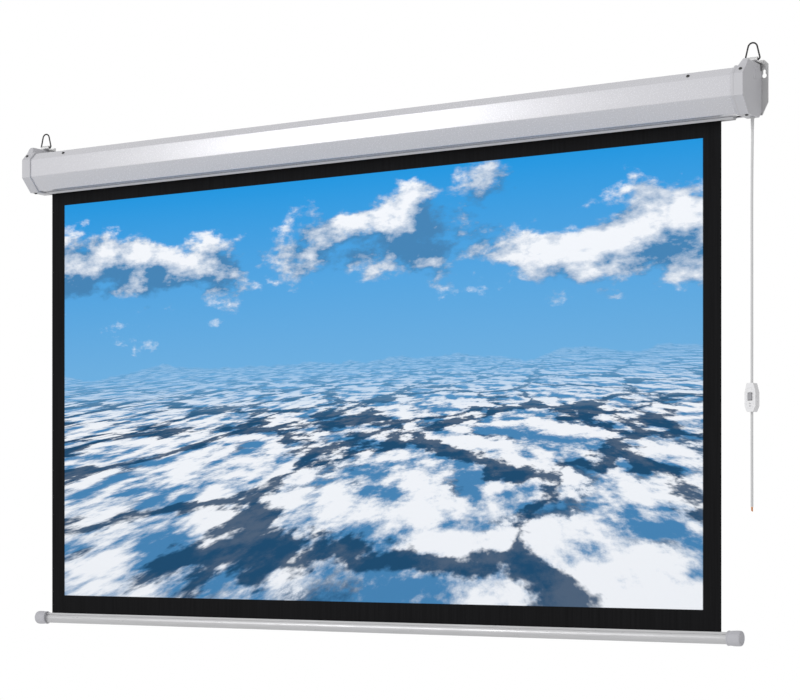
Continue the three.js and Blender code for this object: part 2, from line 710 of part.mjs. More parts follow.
// Everything on the roller's axis, in a frame whose x = 0 is the part's middle plane.
const HEAD_START = HALF_SPAN - CASE_INSET - HEAD_LENGTH;
const CROWN_START = HEAD_START - RUN;
const TUBE_RIGHT = CROWN_START - CROWN_FLANGE - SEAT;
const BUSH_INNER = -(HALF_SPAN - CASE_INSET - BUSH_FLANGE);
const IDLER_START = BUSH_INNER + RUN;
const TUBE_LEFT = IDLER_START + IDLER_FLANGE + SEAT;
const MOTOR_RIGHT = HEAD_START - SEAT;
const MOTOR_LEFT = MOTOR_RIGHT - MOTOR_LENGTH;
const TUBE_BORE = ROLLER_RADIUS - ROLLER_WALL;
const MOTOR_BORE = MOTOR_RADIUS - MOTOR_WALL;

function motor(axis) {
  const headEnd = HEAD_START + HEAD_LENGTH;
  const spigot = HEAD_START - SPIGOT_LENGTH;
  const body = turnedX([
    [spigot, 0],
    [spigot, MOTOR_BORE - SEAT],
    [HEAD_START, MOTOR_BORE - SEAT],
    [HEAD_START, HEAD_RADIUS],
    [headEnd, HEAD_RADIUS],
    [headEnd, 0],
  ]);
  const half = [-STUB_WIDTH / 2, STUB_WIDTH / 2];
  const stub = block([headEnd - OVERRUN, headEnd + STUB_LENGTH], half, half);
  const surface = -Math.sqrt(HEAD_RADIUS ** 2 - LIMIT_OFFSET ** 2);
  const depth = LIMIT_LENGTH - LIMIT_PROUD + SEAT;
  const wells = LIMIT_PLACES.map((place) =>
    rodZ(surface - OVERRUN, surface + depth, headEnd - place, LIMIT_OFFSET, LIMIT_RADIUS + RUN),
  );
  piece(axis, "motor_head", cut(join(body, stub), ...wells), materials.innerPlastic);

  const limitNames = ["limit_screw_up", "limit_screw_down"];
  const limitMaterials = [materials.limitUp, materials.limitDown];
  LIMIT_PLACES.forEach((place, i) => {
    const socket = rodZ(-OVERRUN, LIMIT_PROUD, 0, 0, LIMIT_SOCKET, HEX);
    const adjuster = cut(rodZ(0, LIMIT_LENGTH, 0, 0, LIMIT_RADIUS), socket);
    const mesh = piece(axis, limitNames[i], adjuster, limitMaterials[i]);
    mesh.position.set(headEnd - place, LIMIT_OFFSET, surface - LIMIT_PROUD);
  });

  piece(axis, "motor_tube", sleeveX(MOTOR_LEFT, MOTOR_RIGHT, MOTOR_BORE, MOTOR_RADIUS), materials.motor);
  const limitRight = spigot - SEAT;
  const statorRight = limitRight - LIMIT_UNIT_LENGTH - SEAT;
  const gearRight = statorRight - STATOR_LENGTH - SEAT;
  const gearLeft = MOTOR_LEFT + SHAFT_LENGTH / 2;
  const core = (name, a, b, material) =>
    piece(axis, name, rodX(a, b, 0, 0, MOTOR_BORE - SEAT, ROUND), material);
  core("limit_switch_unit", limitRight - LIMIT_UNIT_LENGTH, limitRight, materials.innerPlastic);
  core("motor_core", statorRight - STATOR_LENGTH, statorRight, materials.steel);
  core("motor_gearbox", gearLeft, gearRight, materials.zinc);
}

function roller(axis) {
  piece(axis, "roller_tube", sleeveX(TUBE_LEFT, TUBE_RIGHT, TUBE_BORE, ROLLER_RADIUS), materials.aluminium);

  const left = FABRIC_CENTRE - FABRIC_WIDTH / 2;
  const wraps = sleeveX(left, left + FABRIC_WIDTH, ROLLER_RADIUS + SEAT, SPARE_RADIUS);
  piece(axis, "fabric_spare_turns", wraps, materials.fabric);

  const crown = turnedX([
    [CROWN_START - CROWN_LENGTH, MOTOR_RADIUS + RUN],
    [CROWN_START, MOTOR_RADIUS + RUN],
    [CROWN_START, ROLLER_RADIUS + FLANGE_PROUD],
    [CROWN_START - CROWN_FLANGE, ROLLER_RADIUS + FLANGE_PROUD],
    [CROWN_START - CROWN_FLANGE, TUBE_BORE - SEAT],
    [CROWN_START - CROWN_LENGTH, TUBE_BORE - SEAT],
    [CROWN_START - CROWN_LENGTH, MOTOR_RADIUS + RUN],
  ]);
  piece(axis, "motor_crown", crown, materials.bush);

  const shaftRight = MOTOR_LEFT + SHAFT_LENGTH / 2 - RUN;
  const shaft = rodX(shaftRight - SHAFT_LENGTH, shaftRight, 0, 0, SHAFT_RADIUS, HEX);
  piece(axis, "drive_shaft", shaft, materials.steel);
  const wheelRight = MOTOR_LEFT - RUN;
  const wheelLeft = wheelRight - WHEEL_LENGTH;
  const webLeft = (wheelLeft + wheelRight - WHEEL_WEB) / 2;
  const wheel = join(
    sleeveX(wheelLeft, wheelRight, TUBE_BORE - SEAT - WHEEL_RIM, TUBE_BORE - SEAT),
    rodX(webLeft, webLeft + WHEEL_WEB, 0, 0, TUBE_BORE - SEAT - WHEEL_RIM / 2, ROUND),
    rodX(wheelLeft, wheelRight, 0, 0, WHEEL_HUB, ROUND),
  );
  const keyed = rodX(wheelLeft - OVERRUN, wheelRight + OVERRUN, 0, 0, SHAFT_RADIUS + SEAT, HEX);
  piece(axis, "drive_wheel", cut(wheel, keyed), materials.bush);

  const plug = turnedX([
    [IDLER_START, 0],
    [IDLER_START, ROLLER_RADIUS + FLANGE_PROUD],
    [IDLER_START + IDLER_FLANGE, ROLLER_RADIUS + FLANGE_PROUD],
    [IDLER_START + IDLER_FLANGE, TUBE_BORE - SEAT],
    [IDLER_START + IDLER_LENGTH, TUBE_BORE - SEAT],
    [IDLER_START + IDLER_LENGTH, 0],
  ]);
  const pinLeft = BUSH_INNER - BUSH_FLANGE - BRACKET_WALL;
  const pinHole = rodX(IDLER_START - OVERRUN, pinLeft + PIN_LENGTH + SEAT, 0, 0, PIN_RADIUS + SEAT);
  piece(axis, "idler_plug", cut(plug, pinHole), materials.bush);
  piece(axis, "idler_pin", rodX(pinLeft, pinLeft + PIN_LENGTH, 0, 0, PIN_RADIUS), materials.steel);
  const bushOuter = -(HALF_SPAN + BRACKET_OUTER + BUSH_PROUD);
  const bush = turnedX([
    [bushOuter, PIN_RADIUS + RUN],
    [BUSH_INNER, PIN_RADIUS + RUN],
    [BUSH_INNER, BUSH_RADIUS + BUSH_FLANGE],
    [BUSH_INNER - BUSH_FLANGE, BUSH_RADIUS + BUSH_FLANGE],
    [BUSH_INNER - BUSH_FLANGE, BUSH_RADIUS],
    [bushOuter, BUSH_RADIUS],
    [bushOuter, PIN_RADIUS + RUN],
  ]);
  piece(axis, "idler_bush", bush, materials.bush);
}

const BACK_FACE = -CASE_WALL - SEAT; // what is fixed to the inside of the case's back starts here
const BOX_FRONT = BACK_FACE - BOX_DEPTH;
const GLAND_TOP = CASE_BOTTOM + SEAT + GLAND_INSIDE;

// The points at the given shares of the way from one place to another, in each direction by itself.
const between = (from, to, shares) =>
  shares.map((share) => share.map((part, k) => from[k] + part * (to[k] - from[k])));

function wiring(end) {
  const outer = [[-BOX_START, -BOX_END], [BOX_FRONT, BACK_FACE], [BOX_FLOOR, BOX_FLOOR + BOX_HEIGHT]];
  const hollow = block(
    [-BOX_START + BOX_WALL, -BOX_END - BOX_WALL],
    [BOX_FRONT - OVERRUN, BACK_FACE - BOX_WALL],
    [BOX_FLOOR + BOX_WALL, BOX_FLOOR + BOX_HEIGHT - BOX_WALL],
  );
  piece(end, "terminal_box", cut(block(...outer), hollow), materials.innerPlastic);
  const lid = block(outer[0], [BOX_FRONT - SEAT - BOX_WALL, BOX_FRONT - SEAT], outer[2]);
  piece(end, "terminal_box_lid", lid, materials.plastic);

  const middle = BOX_FLOOR + BOX_HEIGHT / 2;
  const capacitorEnd = -BOX_START - CAPACITOR_GAP;
  const capacitor = rodX(
    capacitorEnd - CAPACITOR_LENGTH,
    capacitorEnd,
    BACK_FACE - CAPACITOR_RADIUS,
    middle,
    CAPACITOR_RADIUS,
  );
  piece(end, "motor_capacitor", capacitor, materials.bush);

  const boxOutlet = [-BOX_END + SEAT, BACK_FACE - BOX_DEPTH / 2, middle + LEAD_RADIUS];
  const headInlet = [
    -CASE_INSET - HEAD_LENGTH / 2,
    ROLLER_Y + (HEAD_RADIUS + SEAT) * Math.cos(LEAD_SLOPE),
    ROLLER_Z + (HEAD_RADIUS + SEAT) * Math.sin(LEAD_SLOPE),
  ];
  const motorLead = MOTOR_LEAD_SHARES.map(([x, y, rise]) => {
    const [point] = between(boxOutlet, headInlet, [[x, y, y]]);
    return [point[0], point[1], point[2] + rise * LEAD_BOW];
  });
  piece(end, "motor_lead", tubeAlong(motorLead, LEAD_RADIUS, LEAD_SIDES, LEAD_STEPS), materials.lead);

  const glandInside = [-GLAND_INSET, -GLAND_TO_WALL, GLAND_TOP + SEAT];
  const passage = [BRACKET_OUTER - BRACKET_WALL / 2, -PASSAGE_TO_WALL, PASSAGE_Z];
  const boxInlet = [boxOutlet[0], boxOutlet[1], (BOX_FLOOR + middle) / 2];
  const mains = [
    ...between(glandInside, passage, GLAND_TO_PASSAGE_SHARES),
    ...between(passage, boxInlet, PASSAGE_TO_BOX_SHARES),
  ];
  piece(end, "mains_lead", tubeAlong(mains, LEAD_RADIUS, LEAD_SIDES, LEAD_STEPS), materials.lead);
}

// The cord's route hangs from the gland; its points are measured from the cap's outer face.
const CORD_UPPER = [
  [-8.8, -26, -67.2],
  [-8.8, -26, -78],
  [-8.9, -26, -92],
  [-9.1, -26.1, -110],
  [-9.3, -26.2, -132],
  [-9.5, -26.3, -160],
  [-9.7, -26.3, -195],
  [-9.8, -26.2, -235],
  [-9.8, -26.1, -280],
  [-9.8, -26, -330],
  [-9.8, -26, -380],
  [-9.8, -26, -430],
  [-9.8, -26, -480],
  [-9.8, -26, -515],
  [-9.8, -26, -543.7],
];
const CORD_LOWER = [
  [-9.8, -26, -598.3],
  [-9.8, -26, -610],
  [-9.8, -26, -624],
  [-9.8, -26, -640],
  [-9.8, -26.1, -656],
  [-9.8, -26.1, -672],
  [-9.7, -26.2, -688],
  [-9.7, -26.2, -704],
  [-9.6, -26.2, -718],
  [-9.6, -26.1, -732],
  [-9.6, -26, -744],
  [-9.6, -26, -756],
  [-9.6, -26, -766],
  [-9.6, -26, -771],
  [-9.6, -26, -776],
];

// A tube along part of the cord, with a step about every two and a half diameters.
function cordTube(route) {
  const steps = Math.round((route[0][2] - route.at(-1)[2]) / CORD_STEP);
  return tubeAlong(route, CORD_RADIUS, CORD_SIDES, steps);
}

function cord(end) {
  const top = CAP_BOTTOM - SEAT;
  const gland = turnedZ([
    [top - GLAND_COLLAR_HEIGHT - GLAND_TAPER, 0],
    [top - GLAND_COLLAR_HEIGHT - GLAND_TAPER, GLAND_TIP],
    [top - GLAND_COLLAR_HEIGHT, GLAND_ROOT],
    [top - GLAND_COLLAR_HEIGHT, GLAND_COLLAR],
    [top, GLAND_COLLAR],
    [top, GLAND_NECK],
    [CASE_BOTTOM, GLAND_NECK],
    [CASE_BOTTOM, GLAND_COLLAR],
    [GLAND_TOP, GLAND_COLLAR],
    [GLAND_TOP, 0],
  ]);
  piece(end, "cord_gland", gland, materials.cord).position.set(-GLAND_INSET, -GLAND_TO_WALL, 0);
  piece(end, "cord_upper", cordTube(CORD_UPPER), materials.cord);
  piece(end, "cord_lower", cordTube(CORD_LOWER), materials.cord);

  const tip = CORD_LOWER.at(-1);
  const stump = rodZ(-CORE_STUMP, 0, 0, 0, CORE_RING + CORE_RADIUS);
  const cores = Array.from({ length: CORE_COUNT }, (_, i) => {
    const angle = (2 * Math.PI * i) / CORE_COUNT;
    const x = CORE_RING * Math.cos(angle);
    const y = CORE_RING * Math.sin(angle);
    return rodZ(i * CORE_STAGGER - CORE_LENGTH, -SEAT, x, y, CORE_RADIUS, LEAD_SIDES);
  });
  const ends = piece(end, "cord_cores", join(stump, ...cores), materials.copper);
  ends.position.set(tip[0], tip[1], tip[2] - SEAT);
}

// The switch's outline, front view: parallel sides at the waist and sloping shoulders above and below.
const WAIST_TOP = SWITCH_WAIST / 2 - SWITCH_WAIST_DROP;
const WAIST_BOTTOM = WAIST_TOP - SWITCH_WAIST;
const switchOutline = [
  [-SWITCH_END_WIDTH / 2, -SWITCH_HEIGHT / 2],
  [SWITCH_END_WIDTH / 2, -SWITCH_HEIGHT / 2],
  [SWITCH_WIDTH / 2, WAIST_BOTTOM],
  [SWITCH_WIDTH / 2, WAIST_TOP],
  [SWITCH_END_WIDTH / 2, SWITCH_HEIGHT / 2],
  [-SWITCH_END_WIDTH / 2, SWITCH_HEIGHT / 2],
  [-SWITCH_WIDTH / 2, WAIST_TOP],
  [-SWITCH_WIDTH / 2, WAIST_BOTTOM],
];

function cordSwitch(end) {
  const [x, y, above] = CORD_UPPER.at(-1);
  const below = CORD_LOWER[0][2];
  const body = groupAt(end, x, y, (above + below) / 2);
  const face = -SWITCH_DEPTH / 2;
  const inside = grown(switchOutline, -SWITCH_WALL);
  const rockerHalf = [ROCKER_WIDTH / 2 + ROCKER_PLAY, ROCKER_HEIGHT / 2 + ROCKER_PLAY];
  const window = block(
    [-rockerHalf[0], rockerHalf[0]],
    [face - OVERRUN, face + OVERRUN],
    [ROCKER_RISE - rockerHalf[1], ROCKER_RISE + rockerHalf[1]],
  );
  const pinY = face + PIN_DEPTH;
  const earReach = rockerHalf[0] + EAR_THICKNESS;
  const ears = [-1, 1].map((side) => {
    const near = side * rockerHalf[0];
    const far = side * earReach;
    return block(
      [Math.min(near, far), Math.max(near, far)],
      [face + SWITCH_WALL / 2, pinY + EAR_BEHIND_PIN],
      [ROCKER_RISE - EAR_HALF_HEIGHT, ROCKER_RISE + EAR_HALF_HEIGHT],
    );
  });
  const pinHole = (reach) => rodX(-reach, reach, pinY, ROCKER_RISE, ROCKER_PIN + SEAT, TINY_ROUND);
  const frontHollow = alongY(inside, face + SWITCH_WALL, OVERRUN);
  const frontShell = cut(alongY(switchOutline, face, -SEAT / 2), frontHollow, window);
  const clearOfWindow = block(
    [-rockerHalf[0], rockerHalf[0]],
    [face - OVERRUN, 0],
    [-SWITCH_HEIGHT, SWITCH_HEIGHT],
  );
  const earsClear = ears.map((ear) => cut(ear, clearOfWindow));
  const withEars = cut(join(frontShell, ...earsClear), pinHole(earReach + OVERRUN));
  piece(body, "switch_front", withEars, materials.switchShell);

  const screwZ = -SWITCH_HEIGHT / 4;
  const back = -face;
  const backHollow = alongY(inside, -OVERRUN, back - SWITCH_WALL);
  const post = rodY(SEAT, back - SWITCH_WALL / 2, 0, screwZ, SCREW_SHANK + SWITCH_WALL);
  const screwWell = rodY(-OVERRUN, back + OVERRUN, 0, screwZ, SCREW_SHANK + SEAT);
  const backShell = cut(alongY(switchOutline, SEAT / 2, back), backHollow);
  piece(body, "switch_back", cut(join(backShell, post), screwWell), materials.switchShell);
  const screwPiece = piece(body, "switch_screw", screw(back), materials.screw);
  screwPiece.position.set(0, back + SEAT, screwZ);
  screwPiece.rotation.x = -Math.PI / 2;

  // The contact block fills the back shell above the screw's post.
  const blockHalf = SWITCH_WIDTH / 2 - SWITCH_WALL - SEAT;
  const contacts = block(
    [-blockHalf, blockHalf],
    [back - SWITCH_WALL - SEAT - SWITCH_BLOCK, back - SWITCH_WALL - SEAT],
    [screwZ + SCREW_SHANK + SWITCH_WALL + SEAT, WAIST_TOP],
  );
  piece(body, "switch_contacts", contacts, materials.innerPlastic);

  // The rocker's face dips in the middle, where its two halves meet; it turns about the pin.
  const high = ROCKER_HEIGHT / 2;
  const skirt = face - ROCKER_PROUD + ROCKER_DEPTH;
  const profile = [
    [skirt, -high + ROCKER_SKIRT],
    [skirt, high - ROCKER_SKIRT],
    [face, high],
    [face - ROCKER_PROUD, high],
    [face - ROCKER_PROUD + ROCKER_DIP, 0],
    [face - ROCKER_PROUD, -high],
    [face, -high],
  ];
  const key = alongX(profile, -ROCKER_WIDTH / 2, ROCKER_WIDTH / 2).translate(0, 0, ROCKER_RISE);
  piece(body, "switch_rocker", cut(key, pinHole(ROCKER_WIDTH)), materials.rocker);
  const pin = rodX(-earReach, earReach, pinY, ROCKER_RISE, ROCKER_PIN, TINY_ROUND);
  piece(body, "rocker_pin", pin, materials.zinc);
}

// The weight bar's section hangs below z = 0, widest at its waist.
const barOutline = [
  [BAR_TOP_HALF, 0],
  [-BAR_TOP_HALF, 0],
  [-BAR_WAIST_HALF, -BAR_SLOPE],
  [-BAR_WAIST_HALF, -BAR_HEIGHT + BAR_SLOPE],
  [-BAR_FOOT_HALF, -BAR_HEIGHT],
  [BAR_FOOT_HALF, -BAR_HEIGHT],
  [BAR_WAIST_HALF, -BAR_HEIGHT + BAR_SLOPE],
  [BAR_WAIST_HALF, -BAR_SLOPE],
];

function weightBar(root) {
  const bar = groupAt(root, FABRIC_CENTRE, -FABRIC_TO_WALL, BAR_TOP);
  const capStart = FABRIC_WIDTH / 2 + BAR_OVERHANG;
  const reach = capStart + BAR_CAP_POCKET - SEAT;
  const past = reach + OVERRUN;
  const channel = rodX(-past, past, 0, -HEM_DEPTH, HEM_CHANNEL);
  const slot = block([-past, past], [-HEM_SLOT / 2, HEM_SLOT / 2], [-HEM_DEPTH, OVERRUN]);
  const below = -HEM_DEPTH - HEM_CHANNEL - BAR_WALL;
  const hollow = common(
    alongX(grown(barOutline, -BAR_WALL), -past, past),
    block([-past, past], [-BAR_HEIGHT, BAR_HEIGHT], [-BAR_HEIGHT, below]),
  );
  const section = cut(alongX(barOutline, -reach, reach), channel, slot, hollow);
  piece(bar, "weight_bar", section, materials.aluminium);
  const hem = rodX(-FABRIC_WIDTH / 2, FABRIC_WIDTH / 2, 0, -HEM_DEPTH, HEM_ROD);
  piece(bar, "hem_rod", hem, materials.zinc);

  for (const side of ["left", "right"]) {
    const end = groupAt(bar, side === "right" ? capStart : -capStart, 0, -BAR_HEIGHT / 2);
    end.scale.x = side === "right" ? 1 : -1;
    const round = turnedX([
      [0, 0],
      [0, BAR_CAP_RADIUS - BAR_CAP_BEVEL],
      [BAR_CAP_BEVEL, BAR_CAP_RADIUS],
      [BAR_CAP_LENGTH - BAR_CAP_BEVEL, BAR_CAP_RADIUS],
      [BAR_CAP_LENGTH, BAR_CAP_RADIUS - BAR_CAP_BEVEL],
      [BAR_CAP_LENGTH, 0],
    ]);
    const pocket = alongX(grown(barOutline, SEAT), -OVERRUN, BAR_CAP_POCKET);
    piece(end, `bar_cap_${side}`, cut(round, pocket.translate(0, 0, BAR_HEIGHT / 2)), materials.barCap);
  }
}

// The sheet runs straight down from the back of the roller into the bar's slot.
function fabric(root) {
  const half = FABRIC_WIDTH / 2;
  const hemEnd = BAR_TOP - HEM_DEPTH + HEM_ROD + SEAT;
  const sheet = block(
    [FABRIC_CENTRE - half, FABRIC_CENTRE + half],
    [-FABRIC_TO_WALL - FABRIC_THICKNESS / 2, -FABRIC_TO_WALL + FABRIC_THICKNESS / 2],
    [hemEnd, ROLLER_Z],
  );
  piece(root, "screen_fabric", sheet, materials.fabric);
}

const screen = new THREE.Group();
housingCase(screen);
housingEnd(screen, "left");
const motorEnd = housingEnd(screen, "right");
wiring(motorEnd);
cord(motorEnd);
cordSwitch(motorEnd);
const axis = groupAt(screen, 0, ROLLER_Y, ROLLER_Z);
motor(axis);
roller(axis);
fabric(screen);
weightBar(screen);

export default screen;
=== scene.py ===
"""The looks of a motorised projection screen, lowered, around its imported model.

Points are worked out in millimetres and put into the meshes in metres. +X is to the viewer's right, +Y goes
into the wall, +Z is up, and the origin is the middle of the case's flat back.
"""
import json

import bmesh
import bpy
import numpy as np
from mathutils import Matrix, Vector


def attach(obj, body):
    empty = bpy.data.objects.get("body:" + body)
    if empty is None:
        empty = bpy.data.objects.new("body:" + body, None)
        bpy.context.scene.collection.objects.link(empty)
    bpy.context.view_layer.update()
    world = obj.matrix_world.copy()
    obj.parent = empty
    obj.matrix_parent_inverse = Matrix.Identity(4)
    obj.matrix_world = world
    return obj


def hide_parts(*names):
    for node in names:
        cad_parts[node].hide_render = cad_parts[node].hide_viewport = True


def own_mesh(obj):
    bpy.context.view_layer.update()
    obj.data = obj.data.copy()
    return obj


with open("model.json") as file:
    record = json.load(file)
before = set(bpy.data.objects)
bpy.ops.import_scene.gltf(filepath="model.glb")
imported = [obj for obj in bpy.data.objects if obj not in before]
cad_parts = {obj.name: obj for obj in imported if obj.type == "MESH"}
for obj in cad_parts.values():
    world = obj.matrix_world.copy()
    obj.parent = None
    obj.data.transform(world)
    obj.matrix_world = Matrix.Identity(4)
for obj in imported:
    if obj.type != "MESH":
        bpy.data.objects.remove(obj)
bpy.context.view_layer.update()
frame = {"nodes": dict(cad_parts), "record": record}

cad = frame["nodes"]
MM = 0.001
ENDS = ((-1, "left"), (1, "right"))

# The photograph's frame and the camera that fits its corners
FRAME_WIDTH, FRAME_HEIGHT = 800, 700
FOCAL_PIXELS = 2134
HORIZON_ROW = 525.7
SENSOR = 36
CAMERA_PLACE = (2.4635, -3.7651, -0.8117)
CAMERA_TURN = 32.34
CAMERA_SEES = 100

# Points nearer than WELD metres become one. Edges are merged, rounded or drawn sharp by angle, in degrees.
WELD = MM / 500
MERGED_UNDER, ROUNDED_OVER, SHARP_OVER = 0.6, 38, 35

# Points on a rounded corner's arc, and how far a noise's usual values lie from a half
ARC_STEPS = 6
NOISE_REACH = 0.2

# Half the length over the end caps
HALF_SPAN = 888

# The case: its section as (depth, height) corners from the slot's front edge round to its rear edge. A fold
# is tighter on the inside, and tightest at the cut edges. A narrow band at each end keeps the shading flat.
CASE_END, CASE_BAND = 874, 0.4
CASE_WALL = 1.4
CASE_CORNERS = [(-37, -42), (-63, -42), (-90, -13), (-90, 26), (-74, 42), (0, 42), (0, -26), (-16, -42),
                (-23, -42)]
CASE_FOLD, TIGHTER_INSIDE, CUT_FOLD = 2.6, 1.2, 0.3

# The sheet: from the back of the roller down to the bar's slot. Below the seam it stays whole as the bar
# rises, and a gap too small to see keeps its two parts from touching.
SHEET_LEFT, SHEET_RIGHT = -852, 818
SHEET_TOP, SHEET_SEAM, SHEET_BOTTOM = 4, -973.6, -1015.8
SHEET_WIDTH, SHEET_DROP = SHEET_RIGHT - SHEET_LEFT, SHEET_TOP - SHEET_BOTTOM
SEAM_GAP = 0.01
SHEET_Y = -30
SHEET_THICK = 0.4
SWAY, SWAY_LENGTH, SWAY_START = 0.25, 97, 0.6
PICTURE_LEFT, PICTURE_RIGHT = -814, 780
PICTURE_TOP, PICTURE_BOTTOM = -75, -971.6

# The roller, and the turns of cloth that stay on it. A turn is thinner than the step to the next one.
ROLLER_Y, ROLLER_Z = -51.6, 4
ROLL_INNER, ROLL_OUTER = 20.35, 20.95
ROLL_TURNS = 2
ROLL_THICK = 0.18

# The weight bar: half of its section as (half depth, height under its top), with a swelling face between an
# upright lip and a narrow foot
BAR_CENTRE, BAR_REACH = -17, 868.7
BAR_TOP = -1012.6
BAR_AXIS_Z = -1024.1
BAR_LIP = [(3.0, 0), (3.2, -0.3), (3.2, -4.2), (2.7, -4.5), (2.7, -4.9)]
BAR_FOOT = [(3.4, -22.5), (2.6, -23)]
FACE_TOP, FACE_DROP = -5.2, 16.6
FACE_HALF, FACE_SWELL, SWELL_START, SWELL_POWER = 3.7, 3.3, 0.03, 0.75

# The bar's round ends: the pocket's floor and mouth, then the outside, as (distance along the bar, radius)
POCKET_FLOOR, POCKET_LIP, POCKET_MOUTH = 869, 850.4, 849.9
POCKET_PLAY, POCKET_FLARE = 0.3, 0.3
BAR_CAP_PROFILE = [(849.6, 12.4), (849.2, 12.9), (849, 13.5), (849.2, 14.1), (850.2, 14.6), (851.6, 14.5),
                   (852.4, 13.9), (853.2, 13.8), (856, 14.2), (862, 14.75), (868, 14.95), (873, 14.8),
                   (875.4, 14.4), (876.6, 13.6), (877, 12.5), (876.9, 11.6), (876.2, 11.2), (875.7, 10.4),
                   (875.6, 0.01)]

# Two ribs down each cap's outer face, and a bead round its sleeve as (depth, height) corners
RIB_PLACES, RIB_Z = (-38.5, -30.5), 36
RIB_HALF_WIDTH, RIB_HALF_HEIGHT, RIB_RISE, RIB_ROOT = 2.3, 11.5, 0.9, 0.5
RIB_SIDE_POWER, RIB_END_POWER = 6, 10
BEAD_CORNERS = [(-44, 44.6), (-75.1, 44.6), (-92.6, 27.1), (-92.6, -14), (-64.1, -44.6), (-44, -44.6)]
BEAD_FOLD, BEAD_INSET = 2, 20.9
BEAD_HALF_WIDTH, BEAD_RISE, BEAD_ROOT = 2.8, 0.8, 0.5

# Hanging rings, and the eyes that they stand in
WIRE_RADIUS = 1.6
RING_BASE, RING_CORNER, RING_CROWN, RING_HEIGHT = 14.5, 3.5, 9.5, 32
EYE_INSET, EYE_Y, EYE_Z = 10, -22, 63.9

# Cord routes, in metres: each stretch's points from top to bottom
CORD_DIAMETER = 0.005
CORD_UPPER = np.array([
    (0.8792, -0.026, -0.0672), (0.8792, -0.026, -0.078), (0.8791, -0.026, -0.092),
    (0.8789, -0.0261, -0.110), (0.8787, -0.0262, -0.132), (0.8785, -0.0263, -0.160),
    (0.8783, -0.0263, -0.195), (0.8782, -0.0262, -0.235), (0.8782, -0.0261, -0.280),
    (0.8782, -0.026, -0.330), (0.8782, -0.026, -0.380), (0.8782, -0.026, -0.430),
    (0.8782, -0.026, -0.480), (0.8782, -0.026, -0.515), (0.8782, -0.026, -0.5437),
])
CORD_LOWER = np.array([
    (0.8782, -0.026, -0.5983), (0.8782, -0.026, -0.610), (0.8782, -0.026, -0.624),
    (0.8782, -0.026, -0.640), (0.8782, -0.0261, -0.656), (0.8782, -0.0261, -0.672),
    (0.8783, -0.0262, -0.688), (0.8783, -0.0262, -0.704), (0.8784, -0.0262, -0.718),
    (0.8784, -0.0261, -0.732), (0.8784, -0.026, -0.744), (0.8784, -0.026, -0.756),
    (0.8784, -0.026, -0.766), (0.8784, -0.026, -0.771), (0.8784, -0.026, -0.776),
])

# The strain relief: its profile as (height, radius)
RELIEF_X, RELIEF_Y = 879.2, -26
RELIEF_COLLAR = [(-40.9, 3.55), (-44.85, 3.55), (-44.9, 4.5), (-45.2, 4.8), (-46.4, 4.8), (-46.85, 4.5)]
RELIEF_TOP, RELIEF_FOOT, RELIEF_TIP = -46.9, -66.9, (-66.95, 2.6)
RELIEF_RADIUS, RELIEF_TAPER = 3.3, 0.6
SWELLS, SWELL_RISE, SWELL_LEAST, SWELLS_END = 6.5, 0.2, -0.25, 0.93

# The switch's middle and front, and the rim, lens and arrows on it. An arrow's layers are (size, height).
SWITCH_X, SWITCH_FRONT = 878.2, -35.5
RIM_TOP, RIM_BOTTOM, RIM_RADIUS, RIM_WIRE, RIM_STEPS = -559.5, -585.5, 6.6, 0.45, 72
LENS_Z, LENS_RADIUS, LENS_RISE, LENS_ROOT = -559.3, 1.5, 0.9, 0.6
ARROW_HALF, ARROW_FOLD = 2.1, 0.3
ARROW_LAYERS = ((1.0, -0.4), (1.0, 0.25), (0.72, 0.5))

# The floor and its light, in metres: near the screen it takes the shadow, and further out it is white
FLOOR_Z, FLOOR_REACH = -1.62, 14
SHADOW_NEAR, SHADOW_FAR, SHADOW_WHITE = 1.6, 3.4, 0.8
FLOOR_GLOW = 0.5


# Meshes


def grid_faces(rows, columns, ring=True, around=False):
    """Quads on a grid of points; ring joins the last column to the first, and around the last row."""
    i, j = np.meshgrid(np.arange(rows if around else rows - 1), np.arange(columns if ring else columns - 1),
                       indexing="ij")
    down, right = (i + 1) % rows, (j + 1) % columns
    corners = (i * columns + j, i * columns + right, down * columns + right, down * columns + j)
    return np.stack(corners, -1).reshape(-1, 4).tolist()


def slab_faces(rows, columns):
    """Faces of two equal grids of points that lie behind each other, and of the rim between them."""
    count = rows * columns
    front = np.array(grid_faces(rows, columns, ring=False))
    index = np.arange(count).reshape(rows, columns)
    edge = np.concatenate([index[0], index[1:, -1], index[-1, -2::-1], index[-2:0:-1, 0]])
    after = np.roll(edge, -1)
    rim = np.stack([edge, after, after + count, edge + count], -1)
    return np.concatenate([front, front[:, ::-1] + count, rim]).tolist()


def strip_skin(rings):
    """A surface through rings that run out along a line and back beside it; its two ends are quad strips."""
    rows, columns = rings.shape[:2]
    k = np.arange(columns // 2 - 1)
    strip = np.stack([k, k + 1, columns - 2 - k, columns - 1 - k], -1)
    return rings, grid_faces(rows, columns) + strip.tolist() + (strip + columns * (rows - 1)).tolist()


def closed_skin(rings):
    """A surface through closed rings of points, each end shut by a fan round the ring's middle."""
    rings = np.asarray(rings, float)
    rows, columns = rings.shape[:2]
    faces = grid_faces(rows, columns)
    middles = rows * columns + np.arange(2)
    for row, middle in ((0, middles[0]), (rows - 1, middles[1])):
        start = row * columns
        faces += [[start + k, start + (k + 1) % columns, int(middle)] for k in range(columns)]
    return np.concatenate([rings.reshape(-1, 3), rings[[0, -1]].mean(1)]), faces


def unit(v):
    """Vectors at length 1."""
    return v / np.linalg.norm(v, axis=-1, keepdims=True)


def domed(t, power=2):
    """1 in the middle of -1...1 and 0 at its ends: the square root of 1 less the power of t."""
    return np.sqrt((1 - np.abs(t) ** power).clip(0))


